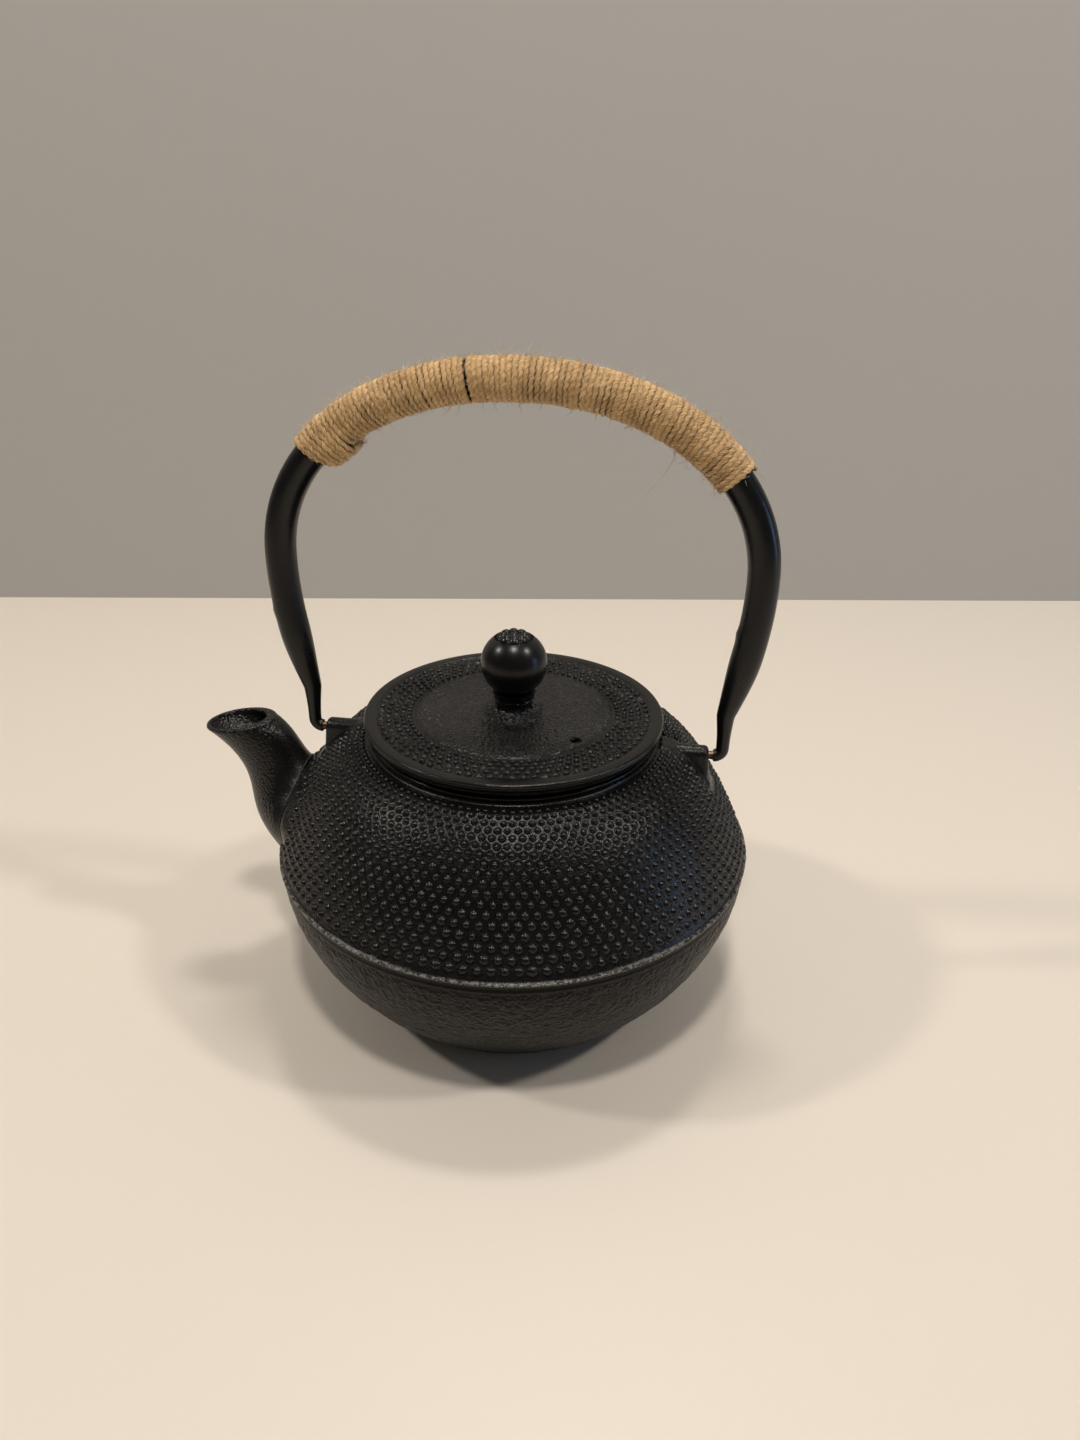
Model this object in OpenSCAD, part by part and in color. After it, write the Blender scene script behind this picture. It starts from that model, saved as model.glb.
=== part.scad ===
// Cast iron teapot: a one-piece pot casting with its spout and lugs, a lid with a screwed-on
// ball knob, a swinging tube bail with a twine grip, and a lift-out stainless infuser.
// Millimetres. The origin is the middle of the foot on the surface that the pot stands on.
// +Z is up, and the lugs and the spout lie along X, with the spout towards -X.

/* [Pot body] */
// Radius at the seam, the widest place
body_r = 76.7; // [72:0.1:80]
// Radius of the foot, where the bowl meets the ground
foot_r = 48.2; // [42:0.1:54]
// Height of the seam
seam_z = 52.5; // [48:0.1:58]
// Height of the hobnailed shoulder above the seam
shoulder_h = 38.6; // [35:0.1:43]
// Thickness of the casting's wall
wall = 3.2; // [2.6:0.1:3.6]
// Thickness of the casting's floor
floor_t = 3.8; // [3:0.1:5]
// How far the casting ridge stands out at the seam
seam_ridge = 0.5; // [0.2:0.05:0.8]
// Half the height of the casting ridge
seam_ridge_h = 0.9; // [0.5:0.1:1.5]
// Chamfer round the foot
foot_chamfer = 0.6; // [0.2:0.1:1]

/* [Hobnails] */
// Hobnails in one row round the shoulder, the main ones only
nail_count = 57; // [48:1:60]
// Rows of hobnails on the shoulder
nail_rows = 8; // [6:1:8]
// Height of the lowest row above the seam
nail_start = 3.8; // [3.4:0.1:5]
// Distance between two rows at the lowest row
nail_step = 8.2; // [7.8:0.1:9]
// Radius of a hobnail's foot
nail_r = 1.25; // [1:0.05:1.5]
// Height of a hobnail
nail_h = 0.55; // [0.3:0.05:0.8]
// Hobnails in one row round the lid
lid_nail_count = 36; // [30:1:42]

/* [Mouth] */
// Outer radius of the neck ring
neck_r = 45.4; // [44:0.1:47]
// Height of the neck ring above the shoulder
neck_h = 2.3; // [1.8:0.1:3]
// Fillet between the shoulder and the neck ring
neck_fillet = 0.8; // [0.4:0.1:1.2]
// Radius of the mouth
mouth_r = 41; // [40:0.1:42]
// Depth of the ledge that carries the infuser
ledge_depth = 3.5; // [3.2:0.1:4]
// Width of that ledge
ledge_w = 3.4; // [2.8:0.1:4]
// Thickness of that ledge
ledge_t = 2; // [1.5:0.1:2.5]

/* [Spout] */
// How far the lip's tip stands out from the seam's radius
spout_reach = 27.3; // [25:0.1:30]
// Height of the lip's tip above the seam
spout_rise = 33.9; // [31:0.1:36]
// Length of the oval lip
lip_length = 24.2; // [23:0.1:26]
// Fall of the lip towards its tip, in degrees
lip_tilt = 8; // [5:0.5:12]
// Half the width of the lip
lip_half_w = 9; // [8.4:0.1:10]
// Half the width of the spout's root inside the pot's wall
root_half_w = 26; // [23:0.5:28]
// Half the width of the channel where it leaves the pot
channel_half_w = 16; // [13:0.5:18]
// Wall of the spout at its root
root_wall = 3; // [2.6:0.1:3.4]
// Wall of the spout at its lip
lip_wall = 1.9; // [1.6:0.1:2.4]
// Wall at the end of the lip nearest the pot
lip_heel = 3.8; // [3.4:0.1:5]
// How far the shoulder's skin rises to the spout round its root
root_rise = 3.3; // [2:0.1:4]
// Width of that rise
root_rise_w = 11; // [8:0.5:14]

/* [Lugs] */
// Height of the bail's pivot below the neck's top
pivot_drop = 5.5; // [4.5:0.1:6]
// How far the lug's face stands out from the shoulder at that height
lug_reach = 7.2; // [6.5:0.1:8]
// Radius of the lug's top round its hole
lug_r = 3; // [2.8:0.1:3.4]
// Half the width of the lug's foot
lug_foot_w = 4.4; // [4:0.1:5]
// Draft of the lug's face, in degrees
lug_draft = 4; // [1:1:10]
// Chamfer over the lug's outer end
lug_chamfer = 1.6; // [1:0.1:1.8]
// Depth of the pivot hole
hole_depth = 6.8; // [6:0.1:7]

/* [Bail] */
// Radius of the pivot pins
pin_r = 1.3; // [1.1:0.05:1.5]
// Gap round a pivot pin in its hole
pin_clear = 0.08; // [0.02:0.01:0.1]
// Gap between a pin's end and the bottom of its hole
pin_end_gap = 0.8; // [0.3:0.1:1.5]
// Height of the arch's top above the pivot, to the middle of the tube
bail_h = 111.3; // [105:0.1:120]
// Half the bail's width at its widest, to the middle of the tube
bail_half_w = 73.2; // [71.5:0.1:76]
// Height of the widest place above the pivot
bail_wide_h = 57; // [50:0.5:62]
// Distance from a lug's face to the middle of the leg beside it
leg_gap = 4.1; // [3.8:0.1:5]
// Height of the leg's straight foot above the pivot
leg_straight = 14; // [11:0.5:18]
// Radius of the tube
tube_r = 4.8; // [4.5:0.1:5.2]
// Radius of the drawn-down end of the tube
tube_end_r = 2; // [1.8:0.05:2.2]
// Height above the pivot at which the tube has its full radius
taper_h = 34; // [30:0.5:40]
// Lean of the bail behind upright as it stands, in degrees
bail_lean = 2.8; // [0:0.1:4]

/* [Grip] */
// Thickness of the twine
twine_d = 1.4; // [1.2:0.1:1.7]
// Gap between the tube and the twine
twine_clear = 0.15; // [0.1:0.05:0.3]
// Where the grip starts on the right, in degrees round the arch
grip_right = 30.5; // [27:0.1:34]
// Where the grip ends on the left, in degrees round the arch
grip_left = 34.6; // [30:0.1:39]

/* [Lid] */
// Radius of the lid
lid_r = 47.3; // [46.6:0.1:48.5]
// Thickness of the lid's upper edge
lid_edge_t = 1.8; // [1.5:0.1:2.2]
// Thickness of the bead under the upper edge
lid_bead_t = 1.7; // [1.4:0.1:2]
// How far the bead is set back from the edge
lid_bead_set = 0.6; // [0.4:0.1:0.9]
// Height of the shadow gap between the neck and the lid
lid_gap = 1.8; // [1.5:0.1:2.1]
// Width of the lid's seat on the neck
lid_seat_w = 2.6; // [2:0.1:3]
// Width of the ring that keeps the lid in the mouth
lid_ring_w = 2.5; // [2:0.1:3]
// How far that ring reaches into the mouth
lid_ring_h = 2.2; // [1.6:0.1:2.4]
// Gap between that ring and the mouth
lid_ring_clear = 0.3; // [0.2:0.05:0.5]
// Width of the lid's smooth rim
lid_rim_w = 3.8; // [3.2:0.1:4.6]
// Width of the lid's hobnail ring
lid_nail_w = 12.5; // [11:0.1:14]
// Depth of the hobnail ring below the rim
lid_nail_drop = 0.3; // [0.2:0.05:0.4]
// Radius of the centre boss where it leaves the plate
boss_r = 9.8; // [9:0.1:11]
// Height of the centre boss
boss_h = 2.4; // [2:0.1:3]
// Diameter of the vent hole
vent_d = 3.4; // [3:0.1:4]
// Distance of the vent hole from the middle
vent_r = 27.6; // [24:0.1:29]
// Direction of the vent hole, in degrees from +X
vent_angle = -38.5; // [-90:0.5:0]

/* [Knob] */
// Radius of the ball
ball_r = 10.4; // [9.6:0.1:11.2]
// Radius of the flat that the ball stands on
ball_flat_r = 5.6; // [5:0.1:6]
// Radius of the recessed blossom on top
blossom_r = 6.1; // [5.6:0.1:6.6]
// Depth of the recess round the blossom
blossom_depth = 0.8; // [0.6:0.1:1]
// Number of petals
petal_count = 8; // [6:1:10]
// Radius of one petal
petal_r = 1.75; // [1.6:0.05:1.9]
// Radius of the collar
collar_r = 6.9; // [6.4:0.1:7.4]
// Thickness of the collar
collar_t = 2.5; // [2:0.1:3]
// Radius of the spacer under the collar
spacer_r = 5.7; // [5.2:0.1:6]
// Thickness of the spacer
spacer_t = 2.8; // [2.2:0.1:3.4]
// Radius of the screw
screw_r = 2; // [1.5:0.1:2.2]
// How far the screw reaches into the ball
screw_grip = 6.6; // [5:0.1:8]
// Radius of the screw's head
screw_head_r = 3.8; // [3.4:0.1:4.2]
// Height of the screw's head
screw_head_h = 1.8; // [1.4:0.1:2]
// Radius of the washer
washer_r = 5; // [4.4:0.1:6]
// Thickness of the washer
washer_t = 0.8; // [0.6:0.1:1]
// Gap round the screw in the rings and the lid
screw_clear = 0.2; // [0.1:0.05:0.3]
// Gap round the screw in the ball's tapped hole
thread_clear = 0.02; // [0.01:0.01:0.05]

/* [Infuser] */
// Gap between the infuser's flange and the mouth
flange_clear = 0.4; // [0.3:0.05:0.6]
// Thickness of the infuser's sheet metal
sheet_t = 0.6; // [0.4:0.05:0.7]
// Gap between the infuser and the ledge's bore
basket_clear = 0.7; // [0.4:0.1:1]
// Height of the rim's skirt
skirt_h = 6; // [4:0.5:9]
// Depth of the basket below its flange
basket_depth = 54; // [45:0.5:60]
// Thickness of the mesh
mesh_t = 0.4; // [0.3:0.05:0.5]
// Height of the band round the basket's foot
band_h = 4; // [3:0.5:6]
// Gap between the mesh and the sheet metal round it
mesh_clear = 0.05; // [0.03:0.01:0.1]

/* [Hidden] */
$fn = 96;
// Spare length by which a cutting shape passes the face that it cuts
cut = 1;
// Segments of a bowl, shoulder or bail curve
curve_steps = 16;

// Pot
shoulder_z = seam_z + shoulder_h;
neck_z = shoulder_z + neck_h;
neck_root_r = neck_r + neck_fillet;
neck_edge = 0.5;
ledge_z = neck_z - ledge_depth;
lip_r = mouth_r - ledge_w;
ceiling_z = ledge_z - ledge_t;
// The wall grows a little towards the floor's corner
floor_r = bowl_r(floor_t) - 1.35 * wall;

// Lugs and bail
pivot_z = neck_z - pivot_drop;
lug_face = shoulder_r(pivot_z) + lug_reach;
pin_tip = lug_face - hole_depth + pin_end_gap;
leg_x = lug_face + leg_gap;
arch_power = 2.1;
tube_sides = 12;
bend_r = 2.6;
// The taper starts at the bend
taper_start = bend_r;
grip_in_r = tube_r + twine_clear;

// Lid
lid_low_z = neck_z + lid_gap;
lid_top_z = lid_low_z + lid_bead_t + lid_edge_t;
lid_bead_r = lid_r - lid_bead_set;
lid_ring_r = mouth_r - lid_ring_clear;
lid_seat_r = mouth_r + lid_seat_w;
nail_out_r = lid_r - lid_rim_w;
nail_in_r = nail_out_r - lid_nail_w;
nail_z = lid_top_z - lid_nail_drop;
boss_z = lid_top_z + boss_h;
edge_round = 0.6;

// Knob
collar_z = boss_z + spacer_t;
ball_low_z = collar_z + collar_t;
ball_z = ball_low_z + sqrt(ball_r * ball_r - ball_flat_r * ball_flat_r);
blossom_z = ball_z + sqrt(ball_r * ball_r - blossom_r * blossom_r);
bore_r = screw_r + screw_clear;
screw_slot = 1;

// Infuser
flange_r = mouth_r - flange_clear;
skirt_r = lip_r - basket_clear;
mesh_r = skirt_r - sheet_t - mesh_clear;
basket_z = ledge_z - basket_depth;

// Bowl's outer radius at a height: a parabola that stands upright at the seam
function bowl_r(z) = foot_r + (body_r - foot_r) * (1 - pow(1 - z / seam_z, 2));

// Shoulder's outer radius at a height: a parabola that lies level at the neck
function shoulder_r(z) =
    neck_root_r + (body_r - neck_root_r) * sqrt(1 - (z - seam_z) / shoulder_h);

// Points of a parabola that is upright at its second end
function bowl_curve(r0, z0, r1, z1) = [
    for (i = [0:curve_steps])
        let (t = i / curve_steps) [r0 + (r1 - r0) * (1 - pow(1 - t, 2)), z0 + (z1 - z0) * t]
];

// Points of a parabola that is level at its second end
function shoulder_curve(r0, z0, r1, z1) = [
    for (i = [0:curve_steps])
        let (t = i / curve_steps) [r0 + (r1 - r0) * t, z0 + (z1 - z0) * (1 - pow(1 - t, 2))]
];

// One point of a cubic curve with four control points
function bezier(p, t) =
    pow(1 - t, 3) * p[0] + 3 * pow(1 - t, 2) * t * p[1]
    + 3 * (1 - t) * pow(t, 2) * p[2] + pow(t, 3) * p[3];

// Solid through a row of rings, closed by its first and last ring. Each ring runs
// counterclockwise as seen from the row's end.
module loft(rings) {
    n = len(rings[0]);
    last = len(rings) - 1;
    sides = [
        for (j = [0:last - 1], i = [0:n - 1])
            let (a = j * n + i, b = j * n + (i + 1) % n) each [[a, b + n, b], [a, a + n, b + n]]
    ];
    caps = [[for (i = [0:n - 1]) i], [for (i = [n - 1:-1:0]) last * n + i]];
    polyhedron([for (ring = rings) each ring], concat(sides, caps));
}

// Solid through a row of rings whose last ring joins its first
module loft_loop(rings) {
    n = len(rings[0]);
    count = len(rings);
    sides = [
        for (j = [0:count - 1], i = [0:n - 1])
            let (k = (i + 1) % n, a = j * n + i, b = j * n + k, up = ((j + 1) % count) * n)
                each [[a, up + k, b], [a, up + i, up + k]]
    ];
    polyhedron([for (ring = rings) each ring], sides);
}

// Flat ring with a bore
module washer(r, bore, z, t) {
    translate([0, 0, z])
        difference() {
            cylinder(r = r, h = t);
            translate([0, 0, -cut]) cylinder(r = bore, h = t + 2 * cut);
        }
}

// ---- Pot ----

// Outside of the pot, from the foot over the seam to the neck
module pot_outside() {
    bowl = bowl_curve(foot_r, 0, body_r, seam_z);
    shoulder = shoulder_curve(body_r, seam_z, neck_root_r, shoulder_z);
    ridge_low = seam_z - seam_ridge_h;
    ridge_high = seam_z + seam_ridge_h;
    outline = concat(
        [[0, 0], [bowl_r(foot_chamfer) - foot_chamfer, 0], [bowl_r(foot_chamfer), foot_chamfer]],
        [for (p = bowl) if (p[1] > foot_chamfer && p[1] < ridge_low) p],
        [
            [bowl_r(ridge_low), ridge_low],
            [body_r + seam_ridge, seam_z - seam_ridge_h / 2],
            [body_r + seam_ridge, seam_z + seam_ridge_h / 2],
            [shoulder_r(ridge_high), ridge_high]
        ],
        [for (p = shoulder) if (p[1] > ridge_high) p],
        [
            [neck_r, shoulder_z + neck_fillet],
            [neck_r, neck_z - neck_edge],
            [neck_r - neck_edge, neck_z],
            [0, neck_z]
        ]
    );
    rotate_extrude() polygon(outline);
}

// Inside of the pot, up through the ledge and the mouth
module pot_inside() {
    bowl = bowl_curve(floor_r, floor_t, body_r - wall, seam_z);
    shoulder = shoulder_curve(body_r - wall, seam_z, neck_root_r, ceiling_z);
    outline = concat(
        [[0, floor_t]],
        bowl,
        [for (p = shoulder) if (p[1] > seam_z) p],
        [
            [lip_r, ceiling_z],
            [lip_r, ledge_z],
            [mouth_r, ledge_z],
            [mouth_r, neck_z + cut],
            [0, neck_z + cut]
        ]
    );
    rotate_extrude() polygon(outline);
}

// Spout's upper edge, from the pot's wall to the end of the lip nearest the pot
tip_x = body_r + spout_reach;
tip_z = seam_z + spout_rise;
heel_x = tip_x - lip_length * cos(lip_tilt);
heel_z = tip_z + lip_length * sin(lip_tilt);
// The lip's edge is rounded, and its oval starts below the mouth by that much
lip_round = lip_wall / 2;
sunk = lip_round * [-sin(lip_tilt), -cos(lip_tilt)];
spout_top = [
    [body_r - 16.7, seam_z + 18.5],
    [body_r - 3.7, seam_z + 16.5],
    [body_r - 6.7, seam_z + 29.9],
    [heel_x, heel_z] + sunk
];
// Spout's lower edge, from the pot's wall to the lip's tip
spout_low = [
    [body_r - 0.7, seam_z - 8],
    [body_r + 24.6, seam_z + 4.2],
    [body_r + 2.7, seam_z + 13.8],
    [tip_x, tip_z] + sunk
];
spout_steps = 12;
spout_sides = 24;
// Width that the lip gains over the throat below it
lip_flare = 0.8;

// Half the width at a share of the length, from a root's to a lip's half width
function flare(root_w, lip_w, t) =
    lip_w - lip_flare + (root_w - lip_w) * pow(1 - t, 3.2) + lip_flare * pow(t, 8);

// Oval ring between an upper and a lower point of the spout, with half its width
function oval(top, low, half_w) = [
    for (i = [0:spout_sides - 1])
        let (
            a = 360 * i / spout_sides,
            mid = (top + low) / 2,
            arm = (low - top) / 2,
            p = mid + arm * cos(a)
        ) [-p[0], -half_w * sin(a), p[1]]
];

// Ring at a share of the spout's length, inside its lower and upper edges by two insets
function spout_ring(t, inset, heel, half_w) =
    let (
        top = bezier(spout_top, t),
        low = bezier(spout_low, t),
        along = (low - top) / norm(low - top)
    ) oval(top + along * heel, low - along * inset, half_w);

function moved(ring, by) = [for (p = ring) p + by];

// Direction square to the mouth's plane
mouth_up = [-sin(lip_tilt), 0, cos(lip_tilt)];

module spout_outside() {
    buried = [8, 0, 0];
    loft(concat(
        [moved(spout_ring(0, 0, 0, flare(root_half_w, lip_half_w, 0)), buried)],
        [
            for (i = [0:spout_steps])
                let (t = i / spout_steps) spout_ring(t, 0, 0, flare(root_half_w, lip_half_w, t))
        ],
        [moved(spout_ring(1, lip_round, lip_round, lip_half_w - lip_round), lip_round * mouth_up)]
    ));
}

// Footprint of the spout on the shoulder: the middle's height, half the width, the height above
// the middle, and the power of its oval
foot_mid_z = seam_z + 4.3;
foot_half_w = 22.8;
foot_up = 15.4;
foot_power = 1.65;

// Distance along the skin from the spout's footprint, for a point beside its middle line
function off_root(side, z) =
    let (
        up = z - foot_mid_z,
        share = pow(
            pow(abs(side) / foot_half_w, foot_power) + pow(abs(up) / foot_up, foot_power), 1 / foot_power
        )
    ) share < 1 ? 0 : norm([side, up]) * (1 - 1 / share);

// Height of the skin's rise at an angle from the spout's middle line and a height
function rise(a, z) =
    let (
        near = max(0, 1 - off_root(a * PI / 180 * shoulder_r(z), z) / root_rise_w),
        grown = min(1, max(0, (z - seam_z - 0.5) / 8.5))
    ) root_rise * near * near * grown * grown * (3 - 2 * grown);

// Point of the shoulder that stands out by a distance square to its skin
function shoulder_point(a, z, out) =
    let (
        slope = 2 * shoulder_h / (body_r - neck_root_r) * sqrt(max(0, 1 - (z - seam_z) / shoulder_h)),
        r = shoulder_r(z) + out * norm([1, slope]) / slope
    ) [r * cos(a), r * sin(a), z];

// Skin that rises to the spout round its root, and sinks into the shoulder at its edge
module root_skin() {
    spread = 34;
    columns = 32;
    rows = 14;
    sunk_edge = 0.3;
    low = seam_z + seam_ridge_h + 0.2;
    high = foot_mid_z + foot_up + root_rise_w + 2;
    angles = [for (i = [0:columns]) -spread + 2 * spread * i / columns];
    loft([
        for (j = [0:rows])
            let (z = low + (high - low) * j / rows)
                concat(
                    [for (a = angles) shoulder_point(180 + a, z, rise(a, z) - sunk_edge)],
                    [for (i = [columns:-1:0]) shoulder_point(180 + angles[i], z, -wall / 2)]
                )
    ]);
}

// One hobnail, a low six-sided dome whose foot is buried in what carries it
module hobnail() {
    translate([0, 0, -0.4]) cylinder(r1 = nail_r + 0.1, r2 = 0.55 * nail_r, h = nail_h + 0.4, $fn = 6);
}

// Share of the way up the shoulder's curve of a row, counted from the lowest
function row_share(row) =
    row == 0
        ? 1 - sqrt(1 - nail_start / shoulder_h)
        : let (
            t = row_share(row - 1),
            r = body_r + (neck_root_r - body_r) * t,
            run = norm([body_r - neck_root_r, 2 * shoulder_h * (1 - t)])
        ) t + nail_step * pow(r / body_r, 1.2) / run;

// Main hobnails of the shoulder, in staggered rows, left out where the spout and the lugs stand
module shoulder_nails() {
    lug_low_z = seam_z + 0.6 * shoulder_h - nail_r - 1;
    for (row = [0:nail_rows - 1]) {
        t = min(row_share(row), 0.98);
        z = seam_z + shoulder_h * (1 - pow(1 - t, 2));
        tilt = atan2(body_r - neck_root_r, 2 * shoulder_h * (1 - t));
        for (i = [0:nail_count - 1]) {
            a = 360 * (i + (row % 2) / 2) / nail_count;
            from_spout = a - 180;
            clear = off_root(from_spout * PI / 180 * shoulder_r(z), z);
            beside_lug = shoulder_r(z) * abs(sin(a)) < lug_foot_w + nail_r + 1 && z > lug_low_z;
            if ((clear > nail_r + 1 || abs(from_spout) > 90) && !beside_lug)
                translate(shoulder_point(a, z, abs(from_spout) > 90 ? 0 : rise(from_spout, z)))
                    rotate([0, 90 - tilt, a])
                        hobnail();
        }
    }
}

module spout_inside() {
    // The heel's extra wall belongs to the lip alone
    root = spout_ring(0, root_wall, root_wall, flare(channel_half_w, lip_half_w, 0) - lip_wall);
    loft(concat(
        [moved(root, [20, 0, 0])],
        [
            for (i = [0:spout_steps])
                let (t = i / spout_steps, skin = root_wall + (lip_wall - root_wall) * t)
                    spout_ring(
                        t, skin, skin + (lip_heel - lip_wall) * pow(t, 3),
                        flare(channel_half_w, lip_half_w, t) - lip_wall
                    )
        ],
        [moved(spout_ring(1, lip_wall, lip_heel, lip_half_w - lip_wall), (lip_round + cut) * mouth_up)]
    ));
}

// One lug: a level boss with a flat face and a tail that runs down to the shoulder
module lug() {
    root_x = neck_root_r - 1;
    foot_z = seam_z + 0.6 * shoulder_h - pivot_z;
    foot_x = lug_face - foot_z * tan(lug_draft);
    translate([0, 0, pivot_z])
        intersection() {
            rotate([90, 0, 90])
                linear_extrude(height = foot_x) lug_front(foot_z);
            rotate([90, 0, 0])
                linear_extrude(height = 4 * lug_foot_w, center = true)
                    polygon([
                        [root_x, foot_z],
                        [foot_x, foot_z],
                        [lug_face - 0.4 * lug_chamfer * tan(lug_draft), lug_r - 1.4 * lug_chamfer],
                        [lug_face - lug_chamfer * 0.4, lug_r - lug_chamfer * 0.4],
                        [lug_face - lug_chamfer, lug_r],
                        [root_x, lug_r]
                    ]);
        }
}

// Lug as seen from its outer end: a round top on sides that spread towards the foot
module lug_front(foot_z) {
    circle(r = lug_r);
    polygon([[-lug_r, 0], [-lug_foot_w, foot_z], [lug_foot_w, foot_z], [lug_r, 0]]);
}

module lug_hole() {
    translate([lug_face - hole_depth, 0, pivot_z])
        rotate([0, 90, 0])
            cylinder(r = pin_r + pin_clear, h = hole_depth + cut, $fn = 48);
}

module pot_body() {
    color([0.16, 0.16, 0.17])
        difference() {
            union() {
                pot_outside();
                root_skin();
                shoulder_nails();
                spout_outside();
                lug();
                mirror([1, 0, 0]) lug();
            }
            pot_inside();
            spout_inside();
            lug_hole();
            mirror([1, 0, 0]) lug_hole();
        }
}

// ---- Bail and grip ----

// Point of the arch at an angle from the right-hand side, measured from the pivot
function arch_point(a) = [
    bail_half_w * sign(cos(a)) * pow(abs(cos(a)), 2 / arch_power),
    bail_wide_h + (bail_h - bail_wide_h) * pow(abs(sin(a)), 2 / arch_power)
];

// Middle of the leg at a height: straight at its foot, then leaning out to the arch
function leg_point(h) = [
    leg_x + (bail_half_w - leg_x)
        * sin(90 * max(0, h - leg_straight) / (bail_wide_h - leg_straight)),
    h
];

// Radius of the tube at a height above the pivot
function tube_radius(h) =
    let (t = min(1, max(0, (h - taper_start) / (taper_h - taper_start))))
        tube_end_r + (tube_r - tube_end_r) * t * t * (3 - 2 * t);

// Ring round a point of the bail, square to the direction between its neighbours
function bail_ring(before, at, after, r) =
    let (d = (after - before) / norm(after - before)) [
        for (i = [0:tube_sides - 1])
            let (a = 360 * i / tube_sides)
                [at[0] + r * cos(a) * d[1], r * sin(a), pivot_z + at[1] - r * cos(a) * d[0]]
    ];

function bail_rings(path, radius) = [
    for (i = [0:len(path) - 1])
        bail_ring(path[max(0, i - 1)], path[i], path[min(len(path) - 1, i + 1)], radius[i])
];

// Right half of the tube's middle line, from the pin's root to the top of the arch
bend_x = leg_x - bend_r;
pin_cone = 1.4;
bend_steps = 5;
leg_steps = 12;
right_path = concat(
    [[bend_x - pin_cone, 0]],
    [
        for (i = [0:bend_steps])
            let (a = -90 + 90 * i / bend_steps) [bend_x + bend_r * cos(a), bend_r + bend_r * sin(a)]
    ],
    [for (i = [1:leg_steps]) leg_point(bend_r + (bail_wide_h - bend_r) * i / leg_steps)],
    [for (i = [1:curve_steps]) arch_point(90 * i / curve_steps)]
);
last_right = len(right_path) - 1;
bail_path = concat(right_path, [for (i = [last_right - 1:-1:0]) [-right_path[i][0], right_path[i][1]]]);
// The tube starts thinner than the pin that it grows out of
root_r = pin_r - 0.15;
bail_radius = [
    for (i = [0:len(bail_path) - 1])
        i == 0 || i == len(bail_path) - 1 ? root_r : tube_radius(bail_path[i][1])
];

module pivot_pin() {
    translate([pin_tip, 0, pivot_z])
        rotate([0, 90, 0])
            cylinder(r = pin_r, h = bend_x - 0.4 - pin_tip, $fn = 48);
}

// Leans a bail or grip that was drawn upright back about the pivots
module leaning() {
    translate([0, 0, pivot_z])
        rotate([-bail_lean, 0, 0])
            translate([0, 0, -pivot_z])
                children();
}

module bail() {
    color([0.13, 0.13, 0.14])
        leaning()
            union() {
                loft(bail_rings(bail_path, bail_radius));
                pivot_pin();
                mirror([1, 0, 0]) pivot_pin();
            }
}

grip_steps = 32;
grip_path = [
    for (i = [0:grip_steps])
        arch_point(grip_right + (180 - grip_left - grip_right) * i / grip_steps)
];

module bail_wrap() {
    outer = bail_rings(grip_path, [for (p = grip_path) grip_in_r + twine_d]);
    inner = bail_rings(grip_path, [for (p = grip_path) grip_in_r]);
    color([0.72, 0.55, 0.33])
        leaning()
            loft_loop(concat(outer, [for (i = [grip_steps:-1:0]) inner[i]]));
}

// ---- Lid and knob ----

module lid_outline() {
    polygon([
        [bore_r, lid_low_z],
        [lid_ring_r - lid_ring_w, lid_low_z],
        [lid_ring_r - lid_ring_w, neck_z - lid_ring_h],
        [lid_ring_r, neck_z - lid_ring_h],
        [lid_ring_r, neck_z],
        [lid_seat_r, neck_z],
        [lid_seat_r, lid_low_z],
        [lid_bead_r, lid_low_z],
        [lid_bead_r, lid_low_z + lid_bead_t],
        [lid_r, lid_low_z + lid_bead_t],
        [lid_r, lid_top_z - edge_round],
        [lid_r - edge_round * 0.3, lid_top_z - edge_round * 0.3],
        [lid_r - edge_round, lid_top_z],
        [nail_out_r, lid_top_z],
        [nail_out_r, nail_z],
        [nail_in_r, nail_z],
        [nail_in_r, lid_top_z],
        [boss_r, lid_top_z],
        [boss_r - 1, lid_top_z + boss_h * 0.35],
        [spacer_r + 1, boss_z - boss_h * 0.1],
        [spacer_r, boss_z],
        [bore_r, boss_z]
    ]);
}

// Main hobnails of the lid, in three staggered rows
module lid_nails() {
    rows = 3;
    first_r = nail_in_r + 2;
    last_r = nail_out_r - 1.5;
    for (row = [0:rows - 1], i = [0:lid_nail_count - 1]) {
        r = first_r * pow(last_r / first_r, row / (rows - 1));
        rotate([0, 0, 360 * (i + (row % 2) / 2) / lid_nail_count])
            translate([r, 0, nail_z])
                hobnail();
    }
}

module lid() {
    color([0.17, 0.17, 0.18])
        difference() {
            union() {
                rotate_extrude() lid_outline();
                lid_nails();
            }
            rotate([0, 0, vent_angle])
                translate([vent_r, 0, lid_low_z - cut])
                    cylinder(d = vent_d, h = lid_top_z - lid_low_z + 2 * cut, $fn = 48);
        }
}

module knob() {
    petal_ring_r = blossom_r - petal_r - 0.5;
    color([0.15, 0.15, 0.16])
        difference() {
            union() {
                difference() {
                    translate([0, 0, ball_z]) sphere(r = ball_r);
                    translate([0, 0, ball_low_z - 2 * ball_r]) cylinder(r = 2 * ball_r, h = 2 * ball_r);
                    translate([0, 0, blossom_z - blossom_depth])
                        cylinder(r = blossom_r - 0.3, h = ball_r);
                }
                for (i = [0:petal_count - 1])
                    rotate([0, 0, 360 * i / petal_count])
                        translate([petal_ring_r, 0, blossom_z - blossom_depth])
                            petal(petal_r);
                translate([0, 0, blossom_z - blossom_depth]) petal(petal_r * 0.9);
            }
            translate([0, 0, ball_low_z - cut])
                cylinder(r = screw_r + thread_clear, h = screw_grip + 0.5 + cut, $fn = 48);
        }
}

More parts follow.
